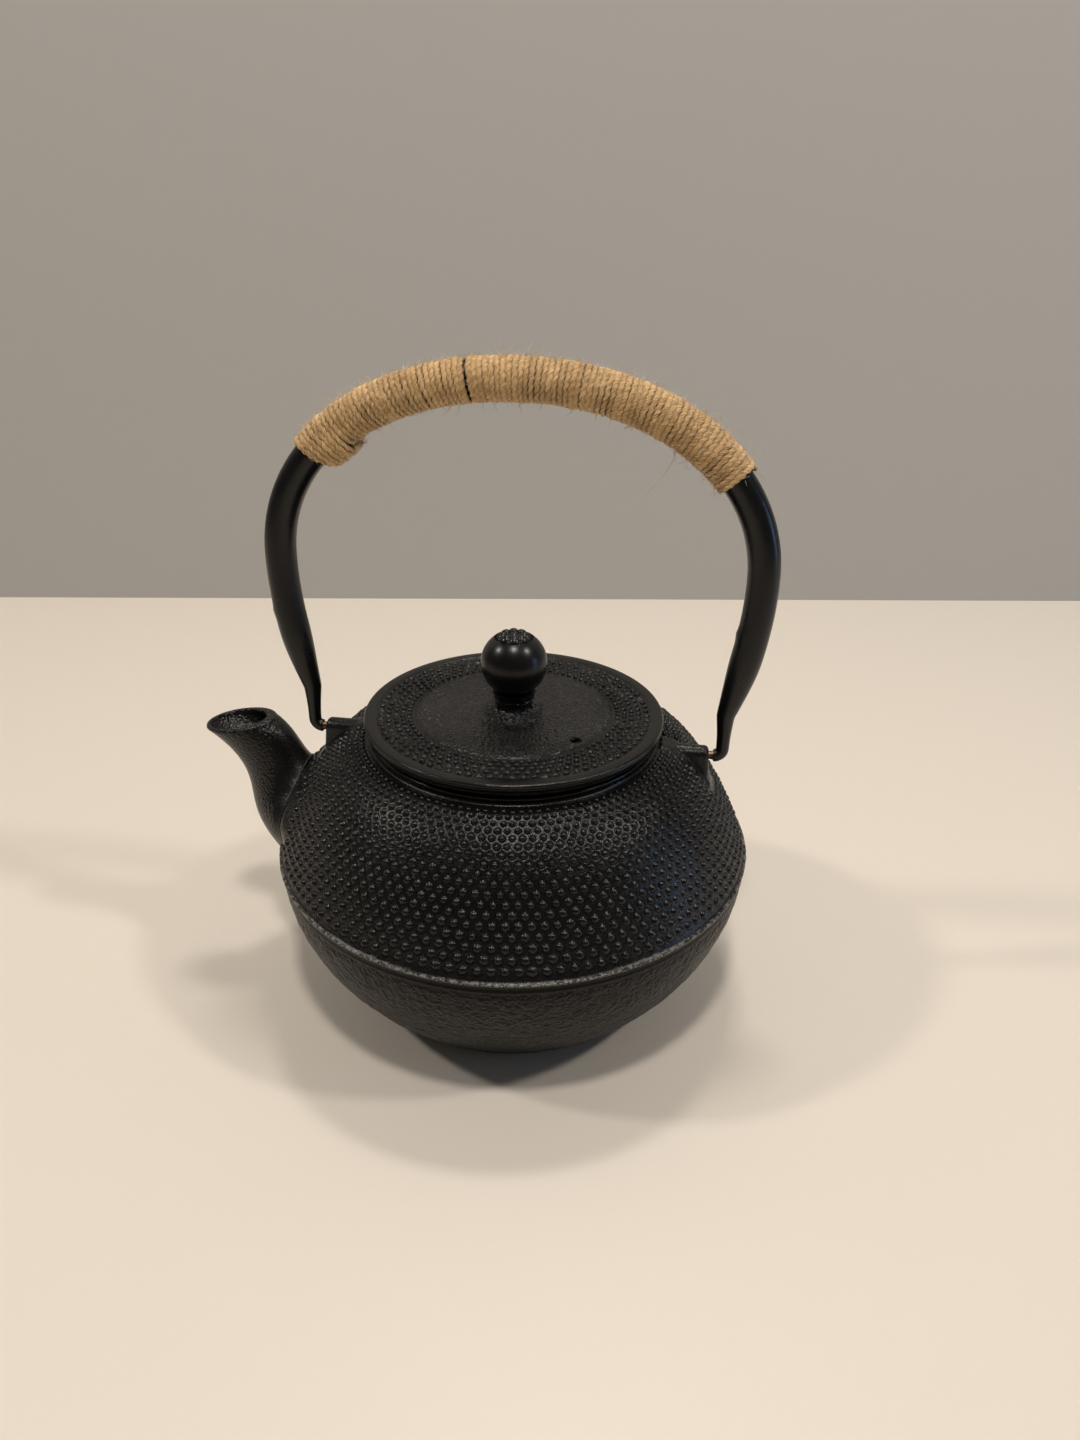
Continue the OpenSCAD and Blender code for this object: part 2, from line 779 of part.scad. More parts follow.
// Half ball that stands a little into the floor of the recess
module petal(r) {
    sunk = 0.3;
    intersection() {
        sphere(r = r, $fn = 32);
        translate([0, 0, -sunk]) cylinder(r = 2 * r, h = 2 * r);
    }
}

// Turned ring with both outer edges chamfered
module turned_ring(r, z, t, edge) {
    rotate_extrude()
        polygon([
            [bore_r, z],
            [r - edge, z],
            [r, z + edge],
            [r, z + t - edge],
            [r - edge, z + t],
            [bore_r, z + t]
        ]);
}

module knob_collar() {
    color([0.2, 0.2, 0.21]) turned_ring(collar_r, collar_z, collar_t, collar_t * 0.25);
}

module knob_spacer() {
    color([0.3, 0.29, 0.28]) turned_ring(spacer_r, boss_z, spacer_t, spacer_t * 0.3);
}

module knob_screw() {
    head_z = lid_low_z - washer_t;
    color([0.7, 0.7, 0.72])
        difference() {
            union() {
                translate([0, 0, head_z - screw_head_h]) cylinder(r = screw_head_r, h = screw_head_h);
                translate([0, 0, head_z - screw_head_h / 2])
                    cylinder(r = screw_r, h = ball_low_z + screw_grip - head_z + screw_head_h / 2, $fn = 48);
            }
            translate([-2 * screw_head_r, -screw_slot / 2, head_z - screw_head_h - cut])
                cube([4 * screw_head_r, screw_slot, cut + screw_head_h * 0.45]);
        }
}

module screw_washer() {
    color([0.75, 0.75, 0.77]) washer(washer_r, bore_r, lid_low_z - washer_t, washer_t);
}

// ---- Infuser ----

// Flange on the ledge, and a skirt that hangs inside the ledge's bore
module infuser_rim() {
    color([0.78, 0.78, 0.8])
        rotate_extrude()
            polygon([
                [skirt_r - sheet_t, ledge_z + sheet_t],
                [skirt_r - sheet_t, ledge_z - skirt_h],
                [skirt_r, ledge_z - skirt_h],
                [skirt_r, ledge_z],
                [flange_r, ledge_z],
                [flange_r, ledge_z + sheet_t]
            ]);
}

// Mesh cylinder inside the rim's skirt and the foot's band
module infuser_wall() {
    color([0.7, 0.7, 0.72])
        washer(mesh_r, mesh_r - mesh_t, basket_z + mesh_t + mesh_clear, basket_depth - 2 * mesh_t);
}

// Band that folds in under the basket's foot
module infuser_band() {
    lap = 3;
    color([0.78, 0.78, 0.8])
        rotate_extrude()
            polygon([
                [mesh_r - mesh_t - lap, basket_z - sheet_t],
                [skirt_r, basket_z - sheet_t],
                [skirt_r, basket_z + band_h],
                [skirt_r - sheet_t, basket_z + band_h],
                [skirt_r - sheet_t, basket_z],
                [mesh_r - mesh_t - lap, basket_z]
            ]);
}

module infuser_floor() {
    color([0.7, 0.7, 0.72])
        translate([0, 0, basket_z]) cylinder(r = mesh_r, h = mesh_t);
}

pot_body();
lid();
knob();
knob_collar();
knob_spacer();
knob_screw();
screw_washer();
bail();
bail_wrap();
infuser_rim();
infuser_wall();
infuser_band();
infuser_floor();
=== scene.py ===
"""Looks of the cast iron teapot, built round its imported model. Lengths are millimetres, in the
frame of the model, until finish_mesh() turns them into metres."""
import math
from itertools import product

import bpy
import numpy as np
from mathutils import Matrix, Vector


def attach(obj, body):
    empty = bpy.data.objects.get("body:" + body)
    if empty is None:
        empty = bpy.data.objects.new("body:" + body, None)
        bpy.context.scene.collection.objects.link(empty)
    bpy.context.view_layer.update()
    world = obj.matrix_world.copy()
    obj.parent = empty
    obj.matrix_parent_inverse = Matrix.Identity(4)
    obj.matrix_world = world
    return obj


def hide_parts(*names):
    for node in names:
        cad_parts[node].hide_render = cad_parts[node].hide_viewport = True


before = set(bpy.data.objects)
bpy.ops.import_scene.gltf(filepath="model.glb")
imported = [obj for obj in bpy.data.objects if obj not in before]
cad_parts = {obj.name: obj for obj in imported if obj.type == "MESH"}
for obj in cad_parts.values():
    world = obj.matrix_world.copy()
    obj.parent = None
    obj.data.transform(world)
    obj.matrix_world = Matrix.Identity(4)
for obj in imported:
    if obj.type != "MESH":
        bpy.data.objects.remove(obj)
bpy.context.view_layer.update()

MM = 0.001
TURN = 2 * math.pi
SEED = 7
# Edges of the castings sharper than this many degrees stay sharp
SHARP_EDGE = 50

# ---- Sizes that part.scad also holds ----

BODY_R = 76.7
FOOT_R = 48.2
SEAM_Z = 52.5
SHOULDER_H = 38.6
WALL = 3.2
FLOOR_T = 3.8
NECK_R = 45.4
NECK_H = 2.3
NECK_FILLET = 0.8
MOUTH_R = 41.0
LEDGE_DEPTH = 3.5
LEDGE_W = 3.4
LEDGE_T = 2.0
SHOULDER_Z = SEAM_Z + SHOULDER_H
NECK_Z = SHOULDER_Z + NECK_H
NECK_ROOT_R = NECK_R + NECK_FILLET
LEDGE_Z = NECK_Z - LEDGE_DEPTH
LIP_R = MOUTH_R - LEDGE_W
CEILING_Z = LEDGE_Z - LEDGE_T

SPOUT_REACH = 27.3
SPOUT_RISE = 33.9
LIP_LENGTH = 24.2
LIP_TILT = math.radians(8)
LIP_HALF_W = 9.0
ROOT_HALF_W = 26.0
CHANNEL_HALF_W = 16.0
ROOT_WALL = 3.0
LIP_WALL = 1.9
LIP_HEEL = 3.8
LIP_FLARE = 0.8

PIVOT_Z = NECK_Z - 5.5
LUG_REACH = 7.2
LUG_R = 3.0
LUG_FOOT_W = 4.4
LUG_DRAFT = math.radians(4)
PIN_R = 1.3
HOLE_R = 1.38
HOLE_DEPTH = 6.8
PIN_END_GAP = 0.8

BAIL_H = 111.3
BAIL_HALF_W = 73.2
BAIL_WIDE_H = 57.0
LEG_GAP = 4.1
LEG_STRAIGHT = 14.0
TUBE_R = 4.8
TUBE_END_R = 2.0
TAPER_H = 34.0
BEND_R = 2.6
BAIL_LEAN = math.radians(2.8)
ARCH_POWER = 2.1
GRIP_RIGHT = math.radians(30.5)
GRIP_LEFT = math.radians(34.6)
GRIP_IN_R = TUBE_R + 0.15

LID_R = 47.3
LID_LOW_Z = NECK_Z + 1.8
LID_EDGE_Z = LID_LOW_Z + 1.7
LID_TOP_Z = LID_EDGE_Z + 1.8
LID_BEAD_R = LID_R - 0.6
LID_RING_R = MOUTH_R - 0.3
LID_RING_W = 2.5
LID_RING_H = 2.2
LID_SEAT_R = MOUTH_R + 2.6
LID_NAIL_OUT = LID_R - 3.8
LID_NAIL_IN = LID_NAIL_OUT - 12.5
LID_NAIL_DROP = 0.3
BOSS_R = 9.8
BOSS_Z = LID_TOP_Z + 2.4
VENT_R = 1.7
VENT_AT = 27.6
VENT_ANGLE = math.radians(-38.5)
BORE_R = 2.2

BALL_R = 10.4
BALL_FLAT_R = 5.6
BLOSSOM_R = 6.1
PETALS = 8

SPACER_R = 5.7
COLLAR_Z = BOSS_Z + 2.8
BALL_LOW_Z = COLLAR_Z + 2.5
BALL_Z = BALL_LOW_Z + math.sqrt(BALL_R**2 - BALL_FLAT_R**2)

SHEET_T = 0.6
MESH_T = 0.4
SKIRT_R = LIP_R - 0.7
MESH_R = SKIRT_R - SHEET_T - 0.05
BASKET_H = 54.0
BASKET_Z = LEDGE_Z - BASKET_H
BAND_H = 4.0

# ---- Mesh helpers ----


class Shell:
    """Points and faces of one mesh, gathered piece by piece."""

    def __init__(self):
        self.blocks = []
        self.faces = []
        self.count = 0

    def add(self, points):
        points = np.asarray(points, float).reshape(-1, 3)
        start = self.count
        self.blocks.append(points)
        self.count += len(points)
        return np.arange(start, self.count)

    def points(self):
        return np.concatenate(self.blocks)

    def quads(self, a, b, c, d):
        self.faces += np.stack([a, b, c, d], -1).reshape(-1, 4).tolist()

    def triangles(self, a, b, c):
        self.faces += np.stack([a, b, c], -1).reshape(-1, 3).tolist()

    def strips(self, ids):
        """Joins rings of as many points; each turns left round the way from the first to the last."""
        for low, high in zip(ids, ids[1:]):
            self.quads(low, np.roll(low, -1), np.roll(high, -1), high)

    def cap(self, ring, centre, faces_along=True):
        """Closes a ring with a fan round a centre point."""
        hub = np.full(len(ring), self.add([centre])[0])
        ahead = np.roll(ring, -1)
        if faces_along:
            self.triangles(ring, ahead, hub)
        else:
            self.triangles(ahead, ring, hub)

    def loft(self, rings, looped=False):
        """Skins a row of rings, each seen turning left from the row's end, and closes it."""
        ids = [self.add(ring) for ring in rings]
        if looped:
            self.strips([*ids, ids[0]])
            return
        self.strips(ids)
        self.cap(ids[0], np.mean(rings[0], 0), faces_along=False)
        self.cap(ids[-1], np.mean(rings[-1], 0))


def finish_mesh(name, shell, smooth_angle=40):
    """Makes a Blender object, in metres, from a shell."""
    mesh = bpy.data.meshes.new(name)
    mesh.from_pydata((shell.points() * MM).tolist(), [], shell.faces)
    mesh.validate()
    mesh.shade_smooth()
    mesh.set_sharp_from_angle(angle=math.radians(smooth_angle))
    obj = bpy.data.objects.new(name, mesh)
    bpy.context.scene.collection.objects.link(obj)
    return obj


def place(obj, body, material, slot, *nodes):
    """Gives a piece its body and its material, and hides the nodes that it stands for; slot is not used."""
    obj.data.materials.clear()
    obj.data.materials.append(material)
    if nodes:
        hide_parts(*nodes)
    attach(obj, body)
    return obj


def angles_round(count):
    return TURN * np.arange(count) / count


def unit(vectors):
    return vectors / np.linalg.norm(vectors, axis=-1, keepdims=True)


def polar(radius, angle, height):
    """Points round the vertical axis; each argument is a number or an array."""
    radius, angle, height = np.broadcast_arrays(radius, angle, height)
    return np.stack([radius * np.cos(angle), radius * np.sin(angle), height], -1)


def ring_points(radius, height, count):
    return polar(radius, angles_round(count), height)


def ring_along_x(x, radius, count, flip=1):
    """Ring round the X axis; flip is -1 for one that turns the other way."""
    angle = angles_round(count)
    return np.stack([np.full(count, x), flip * radius * np.cos(angle), radius * np.sin(angle)], -1)


def swept(line, radii, count, hint):
    """Rings round a line of points; radii holds a number, or one for each side, for every point."""
    way = unit(np.gradient(line, axis=0))
    aside = unit(np.cross(way, hint))
    other = np.cross(way, aside)
    angle = angles_round(count)
    return [
        p + (r * np.cos(angle))[:, None] * a + (r * np.sin(angle))[:, None] * b
        for p, a, b, r in zip(line, aside, other, radii)
    ]


def turned(profile, count):
    """Rings of a profile of (radius, height) rows turned round the vertical axis."""
    return [ring_points(r, z, count) for r, z in profile]


def arc(centre, radius, start, end, steps):
    """(x, y) points of an arc between two angles in degrees."""
    angles = np.radians(np.linspace(start, end, steps + 1))
    return [(centre[0] + radius * math.cos(a), centre[1] + radius * math.sin(a)) for a in angles]


def solid_of_turned(name, profile, count, smooth_angle):
    """A closed turned solid from a profile that ends on itself, drawn counterclockwise in (r, z)."""
    shell = Shell()
    shell.loft(turned(profile, count), looped=True)
    return finish_mesh(name, shell, smooth_angle)


def lumps(points, size, seed=0):
    """A smooth random field from -1 to 1, whose lumps are about size across."""
    at = np.asarray(points, float) / size
    cell = np.floor(at).astype(np.int64)
    share = at - cell
    share = share * share * (3 - 2 * share)
    total = np.zeros(len(at))
    for corner in product((0, 1), repeat=3):
        n = cell + corner
        code = (n[:, 0] * 73856093) ^ (n[:, 1] * 19349663) ^ (n[:, 2] * 83492791) ^ (seed * 2654435)
        code = (code * 2246822519) & 0xFFFFFFFF
        code ^= code >> 15
        code = (code * 3266489917) & 0xFFFFFFFF
        code ^= code >> 13
        weight = np.prod(np.where(corner, share, 1 - share), axis=1)
        total += weight * (code / 2**31 - 1)
    return total


def lumps_along(distance, size, seed):
    """The same field along a line."""
    distance = np.asarray(distance, float)
    return lumps(np.stack([distance, 0 * distance, 0 * distance], -1), size, seed)


def smooth_step(low, high, x):
    t = np.clip((np.asarray(x, float) - low) / (high - low), 0, 1)
    return t * t * (3 - 2 * t)


def hump(x, start, full, fade, end):
    """Rises from 0 at start to 1 at full, and falls from fade on to 0 at end."""
    return smooth_step(start, full, x) * (1 - smooth_step(fade, end, x))


def combine(base, joined=(), cut=()):
    """Joins and cuts closed meshes into the base, then deletes them."""
    for tool, operation in [(t, "UNION") for t in joined] + [(t, "DIFFERENCE") for t in cut]:
        modifier = base.modifiers.new(tool.name, "BOOLEAN")
        modifier.object = tool
        modifier.operation = operation
        modifier.solver = "MANIFOLD"
    graph = bpy.context.evaluated_depsgraph_get()
    mesh = bpy.data.meshes.new_from_object(base.evaluated_get(graph))
    base.modifiers.clear()
    base.data = mesh
    for tool in [*joined, *cut]:
        bpy.data.objects.remove(tool)
    mesh.shade_smooth()
    return base


# ---- Hobnails ----

# Twelve points of a hobnail's cell, in quarters of its width and sixths of two rows' distance
CELL_EDGE = np.array(
    [(2, 0), (2, 2), (1, 3), (0, 4), (-1, 3), (-2, 2), (-2, 0), (-2, -2), (-1, -3), (0, -4), (1, -3), (2, -2)]
)
CELL_SIDES = 12
NAIL_SHARE = 0.30
# How far hobnails differ in radius and height, stray from their places, and how rough they are
RADIUS_SPREAD = 0.05
HEIGHT_SPREAD = 0.1
STRAY = 0.02
NAIL_ROUGH = 0.07


def nail_radius(width, step, extra):
    """Radius of a hobnail that leaves a gap to the nearest of its neighbours."""
    return NAIL_SHARE * np.minimum(width, np.hypot(width / 2, step)) + extra


def hobnail_band(shell, columns, rows, spacing, surface, nail_r, nail_h, keep, seed):
    """Adds rows of staggered hobnails and the ground between them; returns its lower and upper edge rings.
    spacing(v) gives the width and height of a cell, surface(u, v, h) a point h above the ground, and
    keep(u, v) how much of a hobnail stands at its place."""
    rng = np.random.RandomState(seed)
    row, column = (a.ravel() for a in np.meshgrid(np.arange(rows), np.arange(columns), indexing="ij"))
    centre_u = column + 0.5 * (row % 2)
    centre_v = row.astype(float)
    width, step = spacing(centre_v)
    radius = nail_r(centre_v) * (1 + RADIUS_SPREAD * rng.randn(len(row)))
    height = nail_h * keep(centre_u, centre_v) * (1 + HEIGHT_SPREAD * rng.randn(len(row)))
    centre_u = centre_u + STRAY * rng.randn(len(row))
    centre_v = centre_v + STRAY * rng.randn(len(row))

    def ring(share, count, rise):
        """Points round every hobnail, at a share of its radius and of its height."""
        angle = angles_round(count)
        u = centre_u[:, None] + share * radius[:, None] * np.cos(angle) / width[:, None]
        v = centre_v[:, None] + share * radius[:, None] * np.sin(angle) / step[:, None]
        h = (rise * height)[:, None] + nail_h * NAIL_ROUGH * rise * rng.randn(*u.shape)
        return shell.add(surface(u.ravel(), v.ravel(), h.ravel())).reshape(len(row), count)

    top = ring(0.0, 1, 1.0)
    crown = ring(0.5, 6, 0.86)
    side = ring(0.9, CELL_SIDES, 0.36)
    foot = ring(1.13, CELL_SIDES, -0.16)

    quarter = (4 * column + 2 * (row % 2))[:, None] + CELL_EDGE[:, 0]
    sixth = 6 * row[:, None] + CELL_EDGE[:, 1] + 6
    code = sixth * 4 * columns + quarter % (4 * columns)
    codes, found = np.unique(code, return_inverse=True)
    edge_u = codes % (4 * columns) / 4
    edge_v = codes // (4 * columns) / 6 - 1
    edge_ids = shell.add(surface(edge_u, edge_v, np.zeros(len(codes))))
    edge = edge_ids[found].reshape(len(row), CELL_SIDES)

    def turn(ids):
        return np.roll(ids, -1, axis=1)

    shell.triangles(crown, turn(crown), np.broadcast_to(top, crown.shape))
    even, odd = side[:, 0::2], side[:, 1::2]
    shell.triangles(crown, even, odd)
    shell.triangles(crown, odd, turn(crown))
    shell.triangles(turn(crown), odd, turn(even))
    shell.quads(side, foot, turn(foot), turn(side))
    shell.quads(foot, edge, turn(edge), turn(foot))

    def border(sign, last_row):
        at = np.arange(4 * columns)
        dips = sign * np.array([4, 3, 2, 3])
        wanted = (6 * last_row + 6 + dips[(at - 2 * (last_row % 2)) % 4]) * 4 * columns + at
        return edge_ids[np.searchsorted(codes, wanted)]

    return border(-1, 0), border(1, rows - 1)


# ---- Pot ----

POT_COLUMNS = 122
POT_ROWS = 18
POT_AROUND = 4 * POT_COLUMNS
FIRST_ROW_Z = 56.3
POT_NAIL_H = 0.75
POT_NAIL_EXTRA = 0.12
# Rows stand this far apart where the shoulder has this radius, and closer by this power of it
ROW_STEP = 3.2
ROW_STEP_R = 75
ROW_STEP_POWER = 1.13
# The plain strip under the first row starts at this place, counted in rows
PLAIN_STRIP_ROW = -0.86
# Fine table of the shoulder's outline: a parabola that lies level at the neck
SHARE = np.linspace(0, 1, 2001)
SHOULDER_LINE_R = BODY_R + (NECK_ROOT_R - BODY_R) * SHARE
SHOULDER_LINE_Z = SEAM_Z + SHOULDER_H * (1 - (1 - SHARE) ** 2)
SHOULDER_LINE_S = np.r_[0, np.cumsum(np.hypot(np.diff(SHOULDER_LINE_R), np.diff(SHOULDER_LINE_Z)))]
# The spout's footprint on the shoulder
FOOTPRINT_Z = SEAM_Z + 4.3
FOOTPRINT_HALF_W = 22.8
FOOTPRINT_UP = 15.4
FOOTPRINT_POWER = 1.65
# The bulge of the skin round the spout's root
SPOUT_SWELL = 3.3
SPOUT_SWELL_W = 11.0
# The same beside a lug, down to its toe
LUG_SWELL = 0.7
LUG_SWELL_W = 2.4
LUG_TOE_Z = 79.5
# Hobnails keep this far off the spout and the lugs
SPOUT_MARGIN = 1.4
LUG_MARGIN = 0.9
# Lumps of the casting, of its bowl and of the seam's crest
SHOULDER_LUMP_H = 0.05
BOWL_LUMP_H = 0.17
SEAM_LUMP_H = 0.2


def bowl_r(z):
    return FOOT_R + (BODY_R - FOOT_R) * (1 - (1 - z / SEAM_Z) ** 2)


def shoulder_r(z):
    return NECK_ROOT_R + (BODY_R - NECK_ROOT_R) * np.sqrt(np.clip(1 - (z - SEAM_Z) / SHOULDER_H, 0, 1))


def row_places():
    """Distances up the shoulder of the hobnail rows, with one place more at each end."""
    places = [np.interp(FIRST_ROW_Z, SHOULDER_LINE_Z, SHOULDER_LINE_S)]
    while len(places) < POT_ROWS + 1:
        radius = np.interp(places[-1], SHOULDER_LINE_S, SHOULDER_LINE_R)
        places.append(places[-1] + ROW_STEP * (radius / ROW_STEP_R) ** ROW_STEP_POWER)
    return np.array([2 * places[0] - places[1], *places])


ROW_S = row_places()


def row_to_s(v):
    return np.interp(v, np.arange(-1, POT_ROWS + 1), ROW_S)


def shoulder_spacing(v):
    s = row_to_s(v)
    radius = np.interp(s, SHOULDER_LINE_S, SHOULDER_LINE_R)
    step = row_to_s(v + 0.5) - row_to_s(v - 0.5)
    return TURN * radius / POT_COLUMNS, step


def shoulder_nail_r(v):
    return nail_radius(*shoulder_spacing(v), POT_NAIL_EXTRA)


def curve(control, t):
    """Point of a cubic curve with four control points."""
    a, b, c, d = (np.array(p) for p in control)
    return (1 - t) ** 3 * a + 3 * (1 - t) ** 2 * t * b + 3 * (1 - t) * t**2 * c + t**3 * d


TIP = np.array([BODY_R + SPOUT_REACH, SEAM_Z + SPOUT_RISE])
HEEL = TIP + LIP_LENGTH * np.array([-math.cos(LIP_TILT), math.sin(LIP_TILT)])
LIP_ROUND = LIP_WALL / 2
SUNK = -LIP_ROUND * np.array([math.sin(LIP_TILT), math.cos(LIP_TILT)])
SPOUT_TOP = [
    (BODY_R - 16.7, SEAM_Z + 18.5), (BODY_R - 3.7, SEAM_Z + 16.5), (BODY_R - 6.7, SEAM_Z + 29.9), HEEL + SUNK
]
SPOUT_LOW = [
    (BODY_R - 0.7, SEAM_Z - 8), (BODY_R + 24.6, SEAM_Z + 4.2), (BODY_R + 2.7, SEAM_Z + 13.8), TIP + SUNK
]
SPOUT_SIDES = 64
SPOUT_STEPS = 44
LIP_BENDS = np.radians((30, 55, 75, 90))
# The spout's root and its channel reach this far into the bowl
ROOT_SUNK = 8
CHANNEL_SUNK = 20
# The channel's cutter leaves this much of the lip's round; inside, the spout dishes out by so much
LIP_CUT = LIP_ROUND - 0.08
DISH_TIP = 7.0
DISH_SIDE = 2.2


def flare(root_w, t):
    """Half the spout's width at a share of its length."""
    return LIP_HALF_W - LIP_FLARE + (root_w - LIP_HALF_W) * (1 - t) ** 3.2 + LIP_FLARE * t**8


def spout_ring(t, tip_inset, heel_inset, half_w, lift=0.0, sides=SPOUT_SIDES):
    """Oval ring at a share of the spout's length, lifted off the mouth's plane at its end."""
    top, low = curve(SPOUT_TOP, t), curve(SPOUT_LOW, t)
    along = unit(low - top)
    top = top + along * heel_inset
    low = low - along * tip_inset
    up = lift * np.array([math.sin(LIP_TILT), math.cos(LIP_TILT)])
    angle = angles_round(sides)
    middle, arm = (top + low) / 2 + up, (low - top) / 2
    at = middle + np.cos(angle)[:, None] * arm
    return np.stack([-at[:, 0], -half_w * np.sin(angle), at[:, 1]], -1)


def spout_outside():
    shell = Shell()
    rings = [spout_ring(0, 0, 0, ROOT_HALF_W) + [ROOT_SUNK, 0, 0]]
    for t in np.linspace(0, 1, SPOUT_STEPS + 1):
        rings.append(spout_ring(t, 0, 0, flare(ROOT_HALF_W, t)))
    for a in LIP_BENDS:
        inset = LIP_ROUND * (1 - math.cos(a))
        rings.append(spout_ring(1, inset, inset, LIP_HALF_W - inset, LIP_ROUND * math.sin(a)))
    shell.loft(rings)
    return shell


def spout_channel():
    shell = Shell()
    rings = [spout_ring(0, ROOT_WALL, ROOT_WALL, flare(CHANNEL_HALF_W, 0) - LIP_WALL) + [CHANNEL_SUNK, 0, 0]]
    for t in np.linspace(0, 1, SPOUT_STEPS + 1):
        skin = ROOT_WALL + (LIP_WALL - ROOT_WALL) * t
        heel = skin + (LIP_HEEL - LIP_WALL) * t**3
        dish = float(hump(t, 0.45, 0.8, 0.8, 1.0))
        half_w = flare(CHANNEL_HALF_W, t) - LIP_WALL - DISH_SIDE * dish
        rings.append(spout_ring(t, skin + DISH_TIP * dish, heel, half_w))
    lips = [(LIP_CUT * (1 - math.cos(a)), LIP_ROUND * math.sin(a)) for a in LIP_BENDS]
    for out, lift in [*lips, (LIP_CUT, LIP_ROUND + 1)]:
        rings.append(spout_ring(1, LIP_WALL - out, LIP_HEEL - out, LIP_HALF_W - LIP_WALL + out, lift))
    shell.loft(rings)
    return shell


LUG_FACE = float(shoulder_r(PIVOT_Z)) + LUG_REACH
LUG_FOOT_Z = SEAM_Z + 0.6 * SHOULDER_H - PIVOT_Z
LUG_ROUND = 1.3
CREST_R = 0.42


def lug_shell(side):
    """One lug: a round-topped boss whose tail spreads towards its foot."""
    bottom = [(y, LUG_FOOT_Z) for y in np.linspace(-LUG_FOOT_W, LUG_FOOT_W, 7)[1:-1]]
    right = [(LUG_FOOT_W + (LUG_R - LUG_FOOT_W) * t, LUG_FOOT_Z * (1 - t)) for t in np.linspace(0, 1, 9)]
    top = arc((0, 0), LUG_R, 0, 180, 18)[1:]
    left = [(-LUG_R - (LUG_FOOT_W - LUG_R) * t, LUG_FOOT_Z * t) for t in np.linspace(0, 1, 9)][1:]
    outline = np.array(bottom + right + top + left)
    run = np.roll(outline, -1, 0) - np.roll(outline, 1, 0)
    inward = unit(np.stack([-run[:, 1], run[:, 0]], -1))
    rings = [np.c_[np.full(len(outline), x), outline] for x in (NECK_ROOT_R - 1, NECK_ROOT_R + 6)]
    for a in np.radians((0, 25, 50, 70, 90)):
        at = outline + inward * LUG_ROUND * (1 - math.cos(a))
        face = LUG_FACE - at[:, 1] * math.tan(LUG_DRAFT)
        rings.append(np.c_[face - LUG_ROUND * (1 - math.sin(a)), at])
    shell = Shell()
    shell.loft([(ring + [0, 0, PIVOT_Z]) * [side, side, 1] for ring in rings])
    return shell


SPOUT = spout_outside()
LUGS = {side: lug_shell(side) for side in (-1, 1)}


def off_spout(points):
    """Distance along the skin from the spout's oval footprint, 0 inside it."""
    x, y, z = points.T
    side = np.abs(np.arctan2(y, -x)) * np.hypot(x, y)
    up = z - FOOTPRINT_Z
    share = ((side / FOOTPRINT_HALF_W) ** FOOTPRINT_POWER + (np.abs(up) / FOOTPRINT_UP) ** FOOTPRINT_POWER)
    share = np.maximum(share ** (1 / FOOTPRINT_POWER), 1e-6)
    return np.where(share < 1, 0, np.hypot(side, up) * (1 - 1 / share))


def off_lugs(points):
    """Distance from the footprint of the lug on the same side, 0 inside it."""
    x, y, z = points.T
    rise = z - (PIVOT_Z + LUG_FOOT_Z)
    half_w = LUG_FOOT_W - (LUG_FOOT_W - LUG_R) * np.clip(rise / -LUG_FOOT_Z, 0, 1)
    beside = np.maximum(np.abs(y) - half_w, 0)
    below = np.maximum(LUG_TOE_Z - z, 0)
    return np.hypot(beside, below)


def swell_height(z):
    """How far the skin stands off the shoulder where it meets the spout."""
    return SPOUT_SWELL * smooth_step(SEAM_Z + 0.5, SEAM_Z + 9, z)


def shoulder_ground(angle, s):
    """Point and outward normal of the bare shoulder."""
    r = np.interp(s, SHOULDER_LINE_S, SHOULDER_LINE_R)
    z = np.interp(s, SHOULDER_LINE_S, SHOULDER_LINE_Z)
    share = (BODY_R - r) / (BODY_R - NECK_ROOT_R)
    dr, dz = NECK_ROOT_R - BODY_R, 2 * SHOULDER_H * (1 - share)
    length = np.hypot(dr, dz)
    return polar(r, angle, z), polar(dz / length, angle, -dr / length)


def shoulder_surface(u, v, h):
    """Point h above the shoulder's skin, which swells round the spout and the lugs."""
    ground, normal = shoulder_ground(TURN * np.asarray(u) / POT_COLUMNS, row_to_s(v))
    spout = np.clip(off_spout(ground), 0, SPOUT_SWELL_W)
    lug = np.clip(off_lugs(ground), 0, LUG_SWELL_W)
    swell = swell_height(ground[:, 2]) * (1 - spout / SPOUT_SWELL_W) ** 2
    swell = swell + LUG_SWELL * (1 - lug / LUG_SWELL_W) ** 2
    rough = SHOULDER_LUMP_H * lumps(ground, 3.0, 11)
    return ground + normal * (h + swell + rough)[:, None]


def shoulder_keep(u, v):
    """1 where a hobnail stands whole, 0 where the spout or a lug takes its place."""
    ground, _ = shoulder_ground(TURN * u / POT_COLUMNS, row_to_s(v))
    clear = np.minimum(off_spout(ground) - SPOUT_MARGIN, off_lugs(ground) - LUG_MARGIN)
    return (clear > shoulder_nail_r(v)).astype(float)


def roughened(profile, bands):
    """Rings of the pot's outline, each pushed in and out by lumps of the sizes and heights given."""
    profile = np.array(profile)
    run = np.gradient(profile, axis=0)
    normal = unit(np.stack([run[:, 1], -run[:, 0]], -1))
    rings = []
    for (r, z), (nr, nz) in zip(profile, normal):
        ring = ring_points(r, z, POT_AROUND)
        push = sum(height(z) * lumps(ring, size, seed) for height, size, seed in bands)
        rings.append(ring + push[:, None] * ring_points(nr, nz, POT_AROUND))
    return rings


